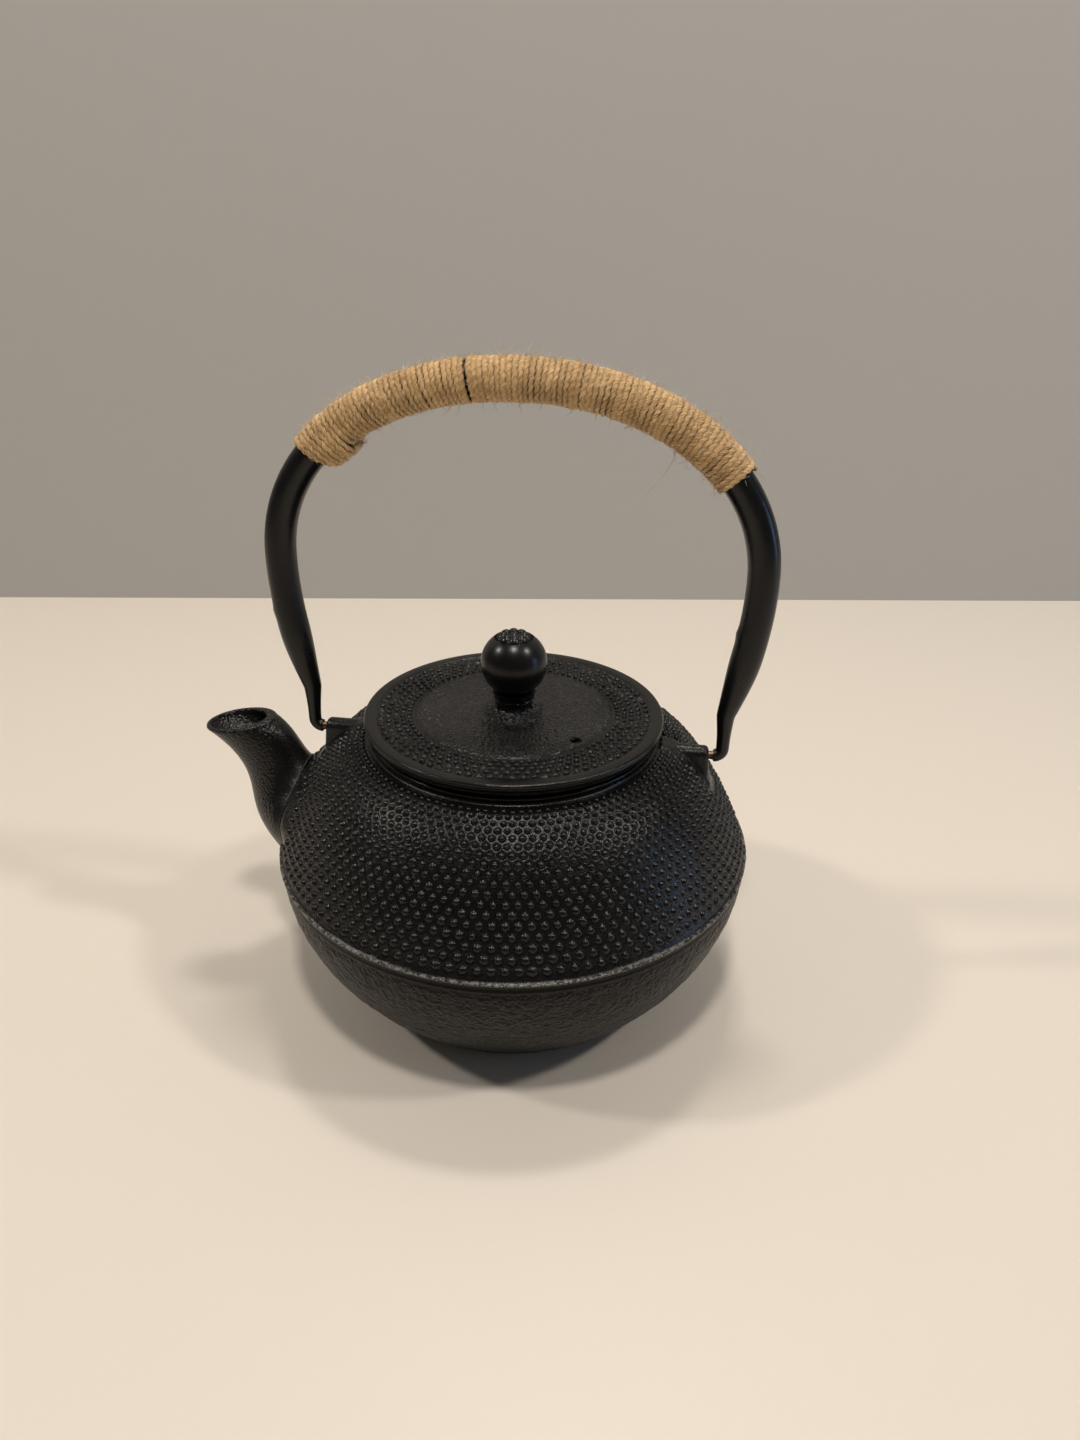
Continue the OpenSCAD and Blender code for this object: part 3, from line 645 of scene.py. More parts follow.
def bowl_rings():
    """The foot, the rough bowl and the seam's bead, up to the plain strip under the first hobnails."""
    flat = [(r, 0.0) for r in (24.0, 40.0, bowl_r(0.6) - 1.0)]
    edge = arc((bowl_r(0.6) - 0.6, 0.6), 0.6, -90, -8, 4)
    bowl = [(bowl_r(z), z) for z in np.linspace(1.4, SEAM_Z - 2.6, 64)]
    bead = [
        (bowl_r(SEAM_Z - 2.2) + 0.15, SEAM_Z - 2.2),
        (bowl_r(SEAM_Z - 1.6), SEAM_Z - 1.7),
        (BODY_R + 0.05, SEAM_Z - 0.8),
        (BODY_R + 0.35, SEAM_Z + 0.1),
        (BODY_R + 0.62, SEAM_Z + 0.55),
        (BODY_R + 0.58, SEAM_Z + 0.85),
        (float(shoulder_r(SEAM_Z + 1.2)) + 0.2, SEAM_Z + 1.15),
        (float(shoulder_r(SEAM_Z + 1.7)), SEAM_Z + 1.7),
    ]

    def cast(z):
        return BOWL_LUMP_H * float(hump(z, 1.0, 2.0, SEAM_Z - 5.5, SEAM_Z - 3))

    def fine(z):
        return 0.8 * cast(z)

    def seam(z):
        return SEAM_LUMP_H if abs(z - SEAM_Z - 0.75) < 0.45 else 0.0

    return roughened(flat + edge + bowl + bead, [(cast, 3.0, 3), (fine, 1.5, 4), (seam, 0.9, 5)])


def neck_profile():
    """From the end of the hobnails up the neck ring's side and onto its rounded top."""
    return [
        (NECK_ROOT_R + 0.35, SHOULDER_Z + 0.02),
        *arc((NECK_ROOT_R, SHOULDER_Z + NECK_FILLET), NECK_FILLET, -100, -180, 5),
        (NECK_R, NECK_Z - 1.0),
        *arc((NECK_R - 0.45, NECK_Z - 0.45), 0.45, 0, 90, 5),
        (MOUTH_R - 4, NECK_Z),
    ]


def pot_outside():
    shell = Shell()
    bowl = [shell.add(ring) for ring in bowl_rings()]
    shell.cap(bowl[0], (0, 0, 0), faces_along=False)
    low, high = hobnail_band(
        shell, POT_COLUMNS, POT_ROWS, shoulder_spacing, shoulder_surface,
        shoulder_nail_r, POT_NAIL_H, shoulder_keep, SEED,
    )
    rows = np.full(POT_AROUND, PLAIN_STRIP_ROW)
    plain = shell.add(shoulder_surface(np.arange(POT_AROUND) / 4, rows, 0))
    neck = [shell.add(ring_points(r, z, POT_AROUND)) for r, z in neck_profile()]
    shell.strips([*bowl, plain, low])
    shell.strips([high, *neck])
    shell.cap(neck[-1], (0, 0, NECK_Z))
    return shell


def pot_inside():
    """The hollow of the pot, up through the ledge and the mouth."""
    floor_r = bowl_r(FLOOR_T) - 1.35 * WALL
    out_r = BODY_R - WALL
    profile = [(floor_r * 0.5, FLOOR_T)]
    for t in np.linspace(0, 1, 19):
        profile.append((floor_r + (out_r - floor_r) * (1 - (1 - t) ** 2), FLOOR_T + (SEAM_Z - FLOOR_T) * t))
    for t in np.linspace(0, 1, 19)[1:]:
        height = SEAM_Z + (CEILING_Z - SEAM_Z) * (1 - (1 - t) ** 2)
        profile.append((out_r + (NECK_ROOT_R - out_r) * t, height))
    profile += [(LIP_R, CEILING_Z), (LIP_R, LEDGE_Z), (MOUTH_R, LEDGE_Z), (MOUTH_R, NECK_Z - 0.4)]
    profile += [*arc((MOUTH_R + 0.4, NECK_Z - 0.4), 0.4, 180, 90, 3), (MOUTH_R + 0.5, NECK_Z + 1)]
    shell = Shell()
    shell.loft(turned(profile, POT_AROUND // 2))
    return shell


def pin_hole(side):
    """Cutter for the blind hole in a lug."""
    ends = sorted((side * (LUG_FACE - HOLE_DEPTH), side * (LUG_FACE + 3)))
    shell = Shell()
    shell.loft([ring_along_x(x, HOLE_R, 32) + (0, 0, PIVOT_Z) for x in ends])
    return shell


def spout_crest():
    """A thin raised line where the hobnailed skin ends against the spout."""
    count = 160
    shares = np.linspace(0, 0.7, 281)
    rings = np.array([spout_ring(t, 0, 0, flare(ROOT_HALF_W, t), sides=count) for t in shares])
    radius = np.hypot(rings[..., 0], rings[..., 1])
    height = np.clip(rings[..., 2], SEAM_Z, SHOULDER_Z - 0.5)
    steep = 2 * SHOULDER_H / (BODY_R - NECK_ROOT_R) * np.sqrt(1 - (height - SEAM_Z) / SHOULDER_H)
    off = (radius - shoulder_r(height)) * steep / np.hypot(1, steep) - swell_height(height)
    line = []
    for k in (np.arange(count) + count // 4) % count:
        over = np.flatnonzero(off[:, k] > 0)
        if len(over) and over[0] > 0 and rings[over[0], k, 2] > SEAM_Z + 1.2:
            i = over[0]
            share = off[i, k] / (off[i, k] - off[i - 1, k])
            line.append(rings[i, k] * (1 - share) + rings[i - 1, k] * share)
    line = np.array(line)
    line = line[np.argsort(line[:, 1])]
    for _ in range(3):
        line[1:-1] = (line[:-2] + 2 * line[1:-1] + line[2:]) / 4
    to_end = np.minimum(np.arange(len(line)), np.arange(len(line))[::-1])
    shell = Shell()
    shell.loft(swept(line, CREST_R * np.clip(to_end / 6, 0.25, 1), 10, line * [1, 1, 0]))
    return shell


# ---- Materials ----


def nodes_of(name):
    """A new material with its node tree and its shader, which the caller finishes."""
    material = bpy.data.materials.new(name)
    material.use_nodes = True
    tree = material.node_tree
    shader = tree.nodes["Principled BSDF"]
    return material, tree, shader


def feed(tree, node, inputs):
    """Links each socket to the output given for it, or sets it to the value given."""
    for key, value in inputs.items():
        if isinstance(value, bpy.types.NodeSocket):
            tree.links.new(value, node.inputs[key])
        else:
            node.inputs[key].default_value = value


def add_node(tree, kind, inputs=(), **settings):
    node = tree.nodes.new(kind)
    for key, value in settings.items():
        setattr(node, key, value)
    feed(tree, node, dict(inputs))
    return node


def stretched(tree, vector, scales):
    return add_node(tree, "ShaderNodeVectorMath", {0: vector, 1: scales}, operation="MULTIPLY").outputs[0]


def times(tree, a, b):
    return add_node(tree, "ShaderNodeMath", {0: a, 1: b}, operation="MULTIPLY").outputs[0]


def noise_at(tree, place_socket, size_mm, detail=2.0, roughness=0.5, stretch=None):
    """Noise whose lumps are about size_mm across, from 0 to 1."""
    vector = stretched(tree, place_socket, stretch) if stretch else place_socket
    inputs = {"Vector": vector, "Scale": 1 / (size_mm * MM), "Detail": detail, "Roughness": roughness}
    return add_node(tree, "ShaderNodeTexNoise", inputs).outputs["Fac"]


def cells_at(tree, place_socket, size_mm, smoothness=0.4):
    """Distance from the middles of round cells of about size_mm."""
    inputs = {"Vector": place_socket, "Scale": 1 / (size_mm * MM), "Smoothness": smoothness}
    return add_node(tree, "ShaderNodeTexVoronoi", inputs, feature="SMOOTH_F1").outputs["Distance"]


def ramp(tree, factor, *stops):
    """Colour by factor, through stops of a position and a colour."""
    node = add_node(tree, "ShaderNodeValToRGB", {"Fac": factor})
    elements = node.color_ramp.elements
    while len(elements) < len(stops):
        elements.new(0.5)
    for element, (position, colour) in zip(elements, stops):
        element.position = position
        element.color = (*colour, 1)
    return node.outputs["Color"]


def two_tone(tree, factor, dark, pale):
    return ramp(tree, factor, (0.3, dark), (0.7, pale))


def to_range(tree, value, low, high, from_low=0.0, from_high=1.0):
    inputs = {"Value": value, "From Min": from_low, "From Max": from_high, "To Min": low, "To Max": high}
    return add_node(tree, "ShaderNodeMapRange", inputs).outputs["Result"]


def from_grain(tree, grain, low, high):
    """A roughness between low and high that follows the grain."""
    return to_range(tree, grain, low, high, 0.3, 0.7)


def rising(tree, value, start, end):
    """0 up to start and 1 from end on, in millimetres."""
    return to_range(tree, value, 0.0, 1.0, start * MM, end * MM)


def falling(tree, value, start, end):
    return to_range(tree, value, 1.0, 0.0, start * MM, end * MM)


def mixed(tree, factor, a, b):
    """Number between a and b."""
    return add_node(tree, "ShaderNodeMix", {0: factor, 2: a, 3: b}, data_type="FLOAT").outputs[0]


def blended(tree, factor, a, b):
    """Colour between a and b."""
    return add_node(tree, "ShaderNodeMix", {0: factor, 6: a, 7: b}, data_type="RGBA").outputs[2]


def bump(tree, height, depth_mm, strength=1.0, under=None):
    inputs = {"Height": height, "Distance": depth_mm * MM, "Strength": strength}
    if under is not None:
        inputs["Normal"] = under
    return add_node(tree, "ShaderNodeBump", inputs).outputs["Normal"]


def own_place(tree):
    return add_node(tree, "ShaderNodeTexCoord").outputs["Object"]


def radius_at(tree, place_socket):
    """Distance from the vertical axis."""
    flat = stretched(tree, place_socket, (1, 1, 0))
    return add_node(tree, "ShaderNodeVectorMath", {0: flat}, operation="LENGTH").outputs["Value"]


SATIN_SPECULAR = 0.34
BOWL_SPECULAR = 0.17
BAND_SPECULAR = 0.07
PAINT_SPECULAR = 0.36
NECK_ROUGHNESS = 0.16
# Pale grey of the seam's crest: partly rubbed iron, partly a painted highlight along the crest
WORN_AND_GLINT_IRON = (0.16, 0.15, 0.14, 1)
DUST = (0.20, 0.19, 0.17, 1)
DUST_SPACING = 3.2


def iron_material():
    """Satin black coating over sand-cast iron: smooth on the rims, rougher and browner on the bowl."""
    material, tree, shader = nodes_of("satin_cast_iron")
    at = own_place(tree)
    height = add_node(tree, "ShaderNodeSeparateXYZ", {0: at}).outputs["Z"]

    def height_band(start, full, fade, end):
        return times(tree, rising(tree, height, start, full), falling(tree, height, fade, end))

    on_spout = rising(tree, radius_at(tree, at), BODY_R + 1.3, BODY_R + 3)
    on_bowl = falling(tree, height, SEAM_Z - 5, SEAM_Z - 2.5)
    on_neck = rising(tree, height, SHOULDER_Z + 0.2, SHOULDER_Z + 0.8)
    on_crest = height_band(SEAM_Z + 0.15, SEAM_Z + 0.45, SEAM_Z + 0.95, SEAM_Z + 1.3)
    on_band = height_band(SEAM_Z - 2.6, SEAM_Z - 2.1, SEAM_Z + 0.1, SEAM_Z + 0.35)
    blotch = noise_at(tree, at, 9, 3)
    grain = noise_at(tree, at, 0.7, 4, 0.65)
    coarse = noise_at(tree, at, 2.2, 3, 0.6)
    cells = cells_at(tree, at, 1.3)

    shoulder_colour = two_tone(tree, blotch, (0.0022, 0.0021, 0.0021), (0.0044, 0.0042, 0.0041))
    bowl_colour = two_tone(tree, blotch, (0.0045, 0.0038, 0.0035), (0.0100, 0.0084, 0.0074))
    # Pale speckles on the seam's crest: partly rubbed iron, partly a painted highlight along the crest
    rubbed_and_glint = to_range(tree, noise_at(tree, at, 0.9, 3, 0.7), 0.0, 1.0, 0.47, 0.56)
    worn_and_glint = mixed(tree, on_spout, times(tree, on_crest, rubbed_and_glint), 0.0)
    colour = blended(tree, worn_and_glint, blended(tree, on_bowl, shoulder_colour, bowl_colour), WORN_AND_GLINT_IRON)

    satin = mixed(tree, on_bowl, from_grain(tree, grain, 0.20, 0.36), from_grain(tree, grain, 0.28, 0.44))
    shine = mixed(tree, on_band, mixed(tree, on_bowl, SATIN_SPECULAR, BOWL_SPECULAR), BAND_SPECULAR)

    fine = bump(tree, mixed(tree, on_neck, grain, to_range(tree, grain, 0.45, 0.50)), 0.10)
    stipple = mixed(tree, on_spout, 0.0, cells_at(tree, at, 0.9))
    pits = mixed(tree, on_bowl, to_range(tree, cells, 0.0, 0.05), cells)
    waves = mixed(tree, on_bowl, to_range(tree, coarse, 0.0, 0.04), coarse)
    rough = bump(tree, pits, 0.6, under=bump(tree, stipple, 0.28, under=fine))
    feed(tree, shader, {
        "Base Color": colour,
        "Roughness": mixed(tree, on_neck, satin, NECK_ROUGHNESS),
        "Specular IOR Level": shine,
        "Normal": bump(tree, waves, 1.3, under=rough),
    })
    return material


def lid_material():
    """The lid's satin black, with a leathery stipple on its plain disc and a smoother rim."""
    material, tree, shader = nodes_of("satin_cast_iron_lid")
    at = own_place(tree)
    radius = radius_at(tree, at)
    on_disc = falling(tree, radius, LID_NAIL_IN - 1, LID_NAIL_IN + 0.5)
    on_rim = rising(tree, radius, LID_NAIL_OUT - 0.2, LID_NAIL_OUT + 0.6)
    blotch = noise_at(tree, at, 8, 3)
    cells = cells_at(tree, at, 1.0, 0.3)
    grain = noise_at(tree, at, 0.5, 4, 0.65)
    stipple = mixed(tree, on_disc, to_range(tree, cells, 0.0, 0.04), cells)
    satin = from_grain(tree, grain, 0.15, 0.30)
    feed(tree, shader, {
        "Base Color": two_tone(tree, blotch, (0.0022, 0.0021, 0.0020), (0.0044, 0.0041, 0.0038)),
        "Roughness": mixed(tree, on_rim, satin, from_grain(tree, grain, 0.13, 0.2)),
        "Specular IOR Level": SATIN_SPECULAR,
        "Normal": bump(tree, stipple, 0.7, under=bump(tree, grain, 0.08)),
    })
    return material


def gloss_black_material(name, roughness, speck_share):
    """Semi-gloss black paint with faint unevenness and a few pale specks of dust."""
    material, tree, shader = nodes_of(name)
    at = own_place(tree)
    blotch = noise_at(tree, at, 5, 3)
    specks = add_node(tree, "ShaderNodeTexVoronoi", {"Vector": at, "Scale": 1 / (DUST_SPACING * MM)})
    lot = add_node(tree, "ShaderNodeSeparateColor", {0: specks.outputs["Color"]}).outputs[0]
    near = to_range(tree, specks.outputs["Distance"], 1.0, 0.0, 0.03, 0.06)
    chosen = to_range(tree, lot, 0.0, 1.0, 1 - speck_share, 1 - speck_share + 0.01)
    base = two_tone(tree, blotch, (0.0016, 0.0016, 0.0018), (0.0034, 0.0034, 0.0037))
    feed(tree, shader, {
        "Base Color": blended(tree, times(tree, near, chosen), base, DUST),
        "Roughness": to_range(tree, blotch, roughness, roughness + 0.1),
        "Specular IOR Level": PAINT_SPECULAR,
        "Normal": bump(tree, noise_at(tree, at, 2.2, 2), 0.05, 0.5),
    })
    return material


def worn_metal_material():
    """Steel with its paint rubbed off, tarnished to brass and copper tones."""
    material, tree, shader = nodes_of("worn_pin_steel")
    tarnish = noise_at(tree, own_place(tree), 1.4, 3)
    tones = (0.35, (0.05, 0.03, 0.02)), (0.5, (0.15, 0.09, 0.05)), (0.7, (0.27, 0.22, 0.17))
    feed(tree, shader, {"Base Color": ramp(tree, tarnish, *tones), "Metallic": 1.0, "Roughness": 0.38})
    return material


def steel_material():
    """Brushed stainless sheet."""
    material, tree, shader = nodes_of("brushed_stainless")
    streaks = noise_at(tree, own_place(tree), 0.35, 3, stretch=(0.06, 0.06, 1.0))
    feed(tree, shader, {
        "Base Color": two_tone(tree, streaks, (0.50, 0.49, 0.48), (0.66, 0.65, 0.64)),
        "Roughness": to_range(tree, streaks, 0.24, 0.40),
        "Metallic": 1.0,
    })
    return material


def twine_material():
    """Golden-brown jute: fibres that run along the strand, pale crowns, and grooves darkened by painted
    shade.
    """
    material, tree, shader = nodes_of("jute_twine")
    along = add_node(tree, "ShaderNodeAttribute", attribute_name="strand").outputs["Vector"]
    crown = add_node(tree, "ShaderNodeAttribute", attribute_name="crown").outputs["Fac"]
    fibres = noise_at(tree, along, 0.30, 4, 0.6, stretch=(0.10, 1.0, 1.0))
    tone = noise_at(tree, along, 16, 2, stretch=(1.0, 0.0, 0.0))
    patch = noise_at(tree, own_place(tree), 9, 3)
    browns = (0.36, (0.20, 0.095, 0.028)), (0.5, (0.48, 0.285, 0.110)), (0.64, (0.74, 0.50, 0.235))
    golds = (0.36, (0.34, 0.180, 0.060)), (0.5, (0.68, 0.435, 0.190)), (0.64, (0.92, 0.69, 0.370))
    both = add_node(tree, "ShaderNodeMath", {0: tone, 1: patch}, operation="ADD").outputs[0]
    choice = to_range(tree, both, 0.0, 1.0, 0.8, 1.2)
    colour = blended(tree, choice, ramp(tree, fibres, *browns), ramp(tree, fibres, *golds))
    # Painted shade: the colour darkens from the strand's crown down its sides into the grooves
    light = to_range(tree, crown, 0.42, 1.12, 0.0, 0.8)
    shaded = add_node(tree, "ShaderNodeVectorMath", {0: colour, "Scale": light}, operation="SCALE")
    feed(tree, shader, {
        "Base Color": shaded.outputs[0],
        "Roughness": 0.62,
        "Sheen Weight": 0.15,
        "Normal": bump(tree, fibres, 0.30, 0.9),
    })
    return material


def fibre_material():
    material, tree, shader = nodes_of("loose_jute_fibre")
    tone = noise_at(tree, own_place(tree), 3, 1)
    colour = two_tone(tree, tone, (0.45, 0.30, 0.15), (0.78, 0.62, 0.40))
    feed(tree, shader, {"Base Color": colour, "Roughness": 0.6})
    return material


def enamel_material():
    material, tree, shader = nodes_of("black_enamel_lining")
    tone = noise_at(tree, own_place(tree), 6, 2)
    colour = two_tone(tree, tone, (0.010, 0.010, 0.011), (0.016, 0.016, 0.017))
    feed(tree, shader, {"Base Color": colour, "Roughness": 0.18})
    return material


# ---- Building the pot ----

IRON = iron_material()
LID_IRON = lid_material()
KNOB_BLACK = gloss_black_material("knob_enamel", 0.24, 0.03)
BAIL_BLACK = gloss_black_material("bail_paint", 0.24, 0.10)
WORN = worn_metal_material()
STEEL = steel_material()
TWINE = twine_material()
FIBRE = fibre_material()
ENAMEL = enamel_material()


def line_with_enamel(mesh):
    """Gives the enamel to the faces of the hollow, from its floor up to the top of the shoulder."""
    mesh.materials.append(ENAMEL)
    centres = np.empty(3 * len(mesh.polygons))
    mesh.polygons.foreach_get("center", centres)
    x, y, z = centres.reshape(-1, 3).T / MM
    radius = np.hypot(x, y)
    outside = np.where(z < SEAM_Z, bowl_r(np.clip(z, 0, SEAM_Z)), shoulder_r(np.clip(z, SEAM_Z, SHOULDER_Z)))
    inside = (radius < outside - 0.6 * WALL) & (z > 0.5 * FLOOR_T) & (z < SHOULDER_Z - 0.3)
    mesh.polygons.foreach_set("material_index", inside.astype(np.int32))


def build_pot():
    casting = finish_mesh("pot_casting", pot_outside())
    lugs = [finish_mesh(f"lug{side}", shell) for side, shell in LUGS.items()]
    joined = [finish_mesh("spout", SPOUT), finish_mesh("crest", spout_crest()), *lugs]
    holes = [finish_mesh(f"hole{side}", pin_hole(side)) for side in LUGS]
    cut = [finish_mesh("hollow", pot_inside()), finish_mesh("channel", spout_channel()), *holes]
    combine(casting, joined, cut)
    casting.data.set_sharp_from_angle(angle=math.radians(SHARP_EDGE))
    place(casting, "pot", IRON, "iron", "pot_body")
    line_with_enamel(casting.data)


# ---- Lid and knob ----

LID_COLUMNS = 84
LID_ROWS = 5
LID_ROW_OUT = 42.0
LID_ROW_IN = 33.0
LID_NAIL_Z = LID_TOP_Z - LID_NAIL_DROP
LID_NAIL_H = 0.72
LID_NAIL_EXTRA = 0.08
PETAL_RING = 3.85
PETAL_R = 1.75
PETAL_H = 1.25
BEAD_RING = 5.0
BEAD_R = 0.5
BEAD_H = 0.7
MIDDLE_R = 1.5
MIDDLE_H = 0.6
BLOSSOM_DEPTH = 0.9
SCREW_R = 2.02


def lid_row_r(v):
    return LID_ROW_OUT * (LID_ROW_IN / LID_ROW_OUT) ** (np.asarray(v, float) / (LID_ROWS - 1))


def lid_spacing(v):
    return TURN * lid_row_r(v) / LID_COLUMNS, lid_row_r(v - 0.5) - lid_row_r(v + 0.5)


def lid_nail_r(v):
    return nail_radius(*lid_spacing(v), LID_NAIL_EXTRA)


def lid_surface(u, v, h):
    points = polar(lid_row_r(v), TURN * np.asarray(u) / LID_COLUMNS, LID_NAIL_Z + np.asarray(h))
    points[:, 2] += 0.04 * lumps(points, 3, 23)
    return points


def lid_under():
    """From the bore along the underside, over the locating ring and round the rim, to the hobnails."""
    ring_in, ring_low = LID_RING_R - LID_RING_W, NECK_Z - LID_RING_H
    return [
        (BORE_R, LID_LOW_Z), (ring_in, LID_LOW_Z), (ring_in, ring_low),
        (LID_RING_R - 0.3, ring_low), (LID_RING_R, ring_low + 0.3), (LID_RING_R, NECK_Z),
        (LID_SEAT_R, NECK_Z), (LID_SEAT_R, LID_LOW_Z), (LID_BEAD_R - 0.35, LID_LOW_Z),
        *arc((LID_BEAD_R - 0.35, LID_LOW_Z + 0.35), 0.35, -90, 0, 3),
        (LID_BEAD_R, LID_EDGE_Z - 0.12), (LID_BEAD_R + 0.1, LID_EDGE_Z),
        *arc((LID_R - 0.3, LID_EDGE_Z + 0.3), 0.3, -90, 0, 3),
        (LID_R, LID_EDGE_Z + 0.5), (LID_R - 0.12, LID_EDGE_Z + 0.65), (LID_R, LID_EDGE_Z + 0.8),
        *arc((LID_R - 0.75, LID_TOP_Z - 0.75), 0.75, 0, 90, 6),
        (LID_NAIL_OUT + 0.6, LID_TOP_Z), (LID_NAIL_OUT + 0.15, LID_TOP_Z - 0.1),
        (LID_NAIL_OUT - 0.15, LID_NAIL_Z),
    ]


def lid_over():
    """From the hobnails over the plain disc and the boss to the bore."""
    return [
        (LID_NAIL_IN + 0.3, LID_NAIL_Z), (LID_NAIL_IN - 0.1, LID_TOP_Z - 0.08),
        (LID_NAIL_IN - 0.6, LID_TOP_Z), (22, LID_TOP_Z), (14, LID_TOP_Z),
        (BOSS_R + 0.6, LID_TOP_Z + 0.03), (BOSS_R - 0.1, LID_TOP_Z + 0.25),
        (BOSS_R - 0.6, LID_TOP_Z + 0.75), (BOSS_R - 1.3, LID_TOP_Z + 1.45), (BOSS_R - 2.0, BOSS_Z - 0.4),
        (BOSS_R - 2.6, BOSS_Z - 0.1), (SPACER_R + 0.3, BOSS_Z), (BORE_R, BOSS_Z),
    ]


def vent_cutter():
    """A round hole with a small flare at the lid's top."""
    vent = Shell()
    flared = [
        (VENT_R, LID_LOW_Z - 1), (VENT_R, LID_TOP_Z - 0.25),
        (VENT_R + 0.12, LID_TOP_Z - 0.05), (VENT_R + 0.5, LID_TOP_Z + 0.4),
    ]
    vent.loft([ring + polar(VENT_AT, VENT_ANGLE, 0) for ring in turned(flared, 40)])
    return vent


def build_lid():
    shell = Shell()
    count = 4 * LID_COLUMNS
    under = [shell.add(ring) for ring in turned(lid_under(), count)]
    low, high = hobnail_band(
        shell, LID_COLUMNS, LID_ROWS, lid_spacing, lid_surface,
        lid_nail_r, LID_NAIL_H, lambda u, v: np.ones(len(u)), SEED + 1,
    )
    over = []
    for r, z in lid_over():
        ring = ring_points(r, z, count)
        if BOSS_R < r < LID_NAIL_IN - 0.2:
            ring[:, 2] += 0.07 * lumps(ring, 7, 21) + 0.03 * lumps(ring, 2.5, 22)
        over.append(shell.add(ring))
    shell.strips([*under, low])
    shell.strips([high, *over, under[0]])
    lid = finish_mesh("lid_casting", shell)
    combine(lid, cut=[finish_mesh("vent", vent_cutter())])
    lid.data.set_sharp_from_angle(angle=math.radians(SHARP_EDGE))
    place(lid, "lid_group", LID_IRON, "iron", "lid")


def blossom_height(x, y):
    """Height of the blossom over its recess: a ring of domed petals, small beads and a middle bead."""

    def dome(ring, angle, radius, height, power):
        away = np.hypot(x - ring * math.cos(angle), y - ring * math.sin(angle)) / radius
        return height * np.clip(1 - away**2, 0, 1) ** power

    domes = [dome(0, 0, MIDDLE_R, MIDDLE_H, 0.5)]
    for k in range(PETALS):
        angle = TURN * (k + 0.25) / PETALS
        domes.append(dome(PETAL_RING, angle, PETAL_R, PETAL_H, 0.6))
        domes.append(dome(BEAD_RING, angle + TURN / PETALS / 2, BEAD_R, BEAD_H, 0.5))
    return np.max(domes, axis=0)


def build_knob():
    count = 192
    profile = [(SCREW_R, BALL_LOW_Z), (BALL_FLAT_R - 0.15, BALL_LOW_Z), (BALL_FLAT_R, BALL_LOW_Z + 0.1)]
    low_angle = -math.degrees(math.acos(BALL_FLAT_R / BALL_R))
    top_angle = math.degrees(math.acos((BLOSSOM_R + 0.1) / BALL_R))
    profile += arc((0, BALL_Z), BALL_R, low_angle + 2, top_angle, 40)
    rings = [ring_points(SCREW_R, BALL_LOW_Z + 7, count)] + turned(profile, count)
    for r in np.linspace(BLOSSOM_R, 0.12, 44):
        ring = ring_points(r, 0, count)
        dome = BALL_Z + math.sqrt(BALL_R**2 - r**2)
        recess = BLOSSOM_DEPTH * float(smooth_step(0, 0.35, BLOSSOM_R - r))
        rise = blossom_height(ring[:, 0], ring[:, 1]) * float(smooth_step(0, 0.5, BLOSSOM_R - r))
        ring[:, 2] = dome - recess + rise
        rings.append(ring)
    shell = Shell()
    shell.loft(rings)
    place(finish_mesh("ball_knob", shell, 60), "lid_group", KNOB_BLACK, "knob_enamel", "knob")


def build_collars():
    """The faceted collar under the ball and the narrower spacer under it."""
    count = 72
    shape = [
        (BORE_R, COLLAR_Z), (6.2, COLLAR_Z), (6.45, COLLAR_Z + 0.2), (6.55, COLLAR_Z + 1.0),
        (6.8, COLLAR_Z + 1.8), (7.1, COLLAR_Z + 2.1), (7.1, BALL_LOW_Z - 0.12), (6.9, BALL_LOW_Z),
        (BORE_R, BALL_LOW_Z),
    ]
    rings = turned(shape, count)
    facets = 1 + 0.012 * np.cos(12 * angles_round(count))
    for ring in rings[1:-1]:
        ring[:, :2] *= facets[:, None]
    collar = Shell()
    collar.loft(rings, looped=True)
    place(finish_mesh("collar", collar, 35), "lid_group", KNOB_BLACK, "knob_enamel", "knob_collar")
    shape = [
        (BORE_R, BOSS_Z), (5.9, BOSS_Z), (5.9, BOSS_Z + 0.9), (6.0, BOSS_Z + 1.5), (6.35, BOSS_Z + 1.9),
        (6.5, BOSS_Z + 2.15), (6.5, COLLAR_Z - 0.3), (6.3, COLLAR_Z - 0.08), (6.0, COLLAR_Z),
        (BORE_R, COLLAR_Z),
    ]
    spacer = solid_of_turned("spacer", shape, count, 35)
    place(spacer, "lid_group", LID_IRON, "iron", "knob_spacer")


# ---- Bail and twine ----


# The press that drew the tube left a faint corner, on the left side of both legs
CORNER_H = 40
CORNER_W = 1.6
CORNER_RISE = 0.35


def arch_point(angle):
    c, sn = math.cos(angle), math.sin(angle)
    power = 2 / ARCH_POWER
    x = BAIL_HALF_W * math.copysign(abs(c) ** power, c)
    return np.array([x, BAIL_WIDE_H + (BAIL_H - BAIL_WIDE_H) * abs(sn) ** power])


def leg_point(height):
    lean = math.sin(math.pi / 2 * max(0, height - LEG_STRAIGHT) / (BAIL_WIDE_H - LEG_STRAIGHT))
    return np.array([LUG_FACE + LEG_GAP + (BAIL_HALF_W - LUG_FACE - LEG_GAP) * lean, height])


def tube_radius(height):
    return TUBE_END_R + (TUBE_R - TUBE_END_R) * float(smooth_step(BEND_R, TAPER_H, height))


def leaned(points):
    """From (across, depth, height above the pivot) to the leaning bail's place."""
    x, y, h = np.asarray(points, float).T
    c, sn = math.cos(BAIL_LEAN), math.sin(BAIL_LEAN)
    return np.stack([x, y * c + h * sn, PIVOT_Z + h * c - y * sn], -1)


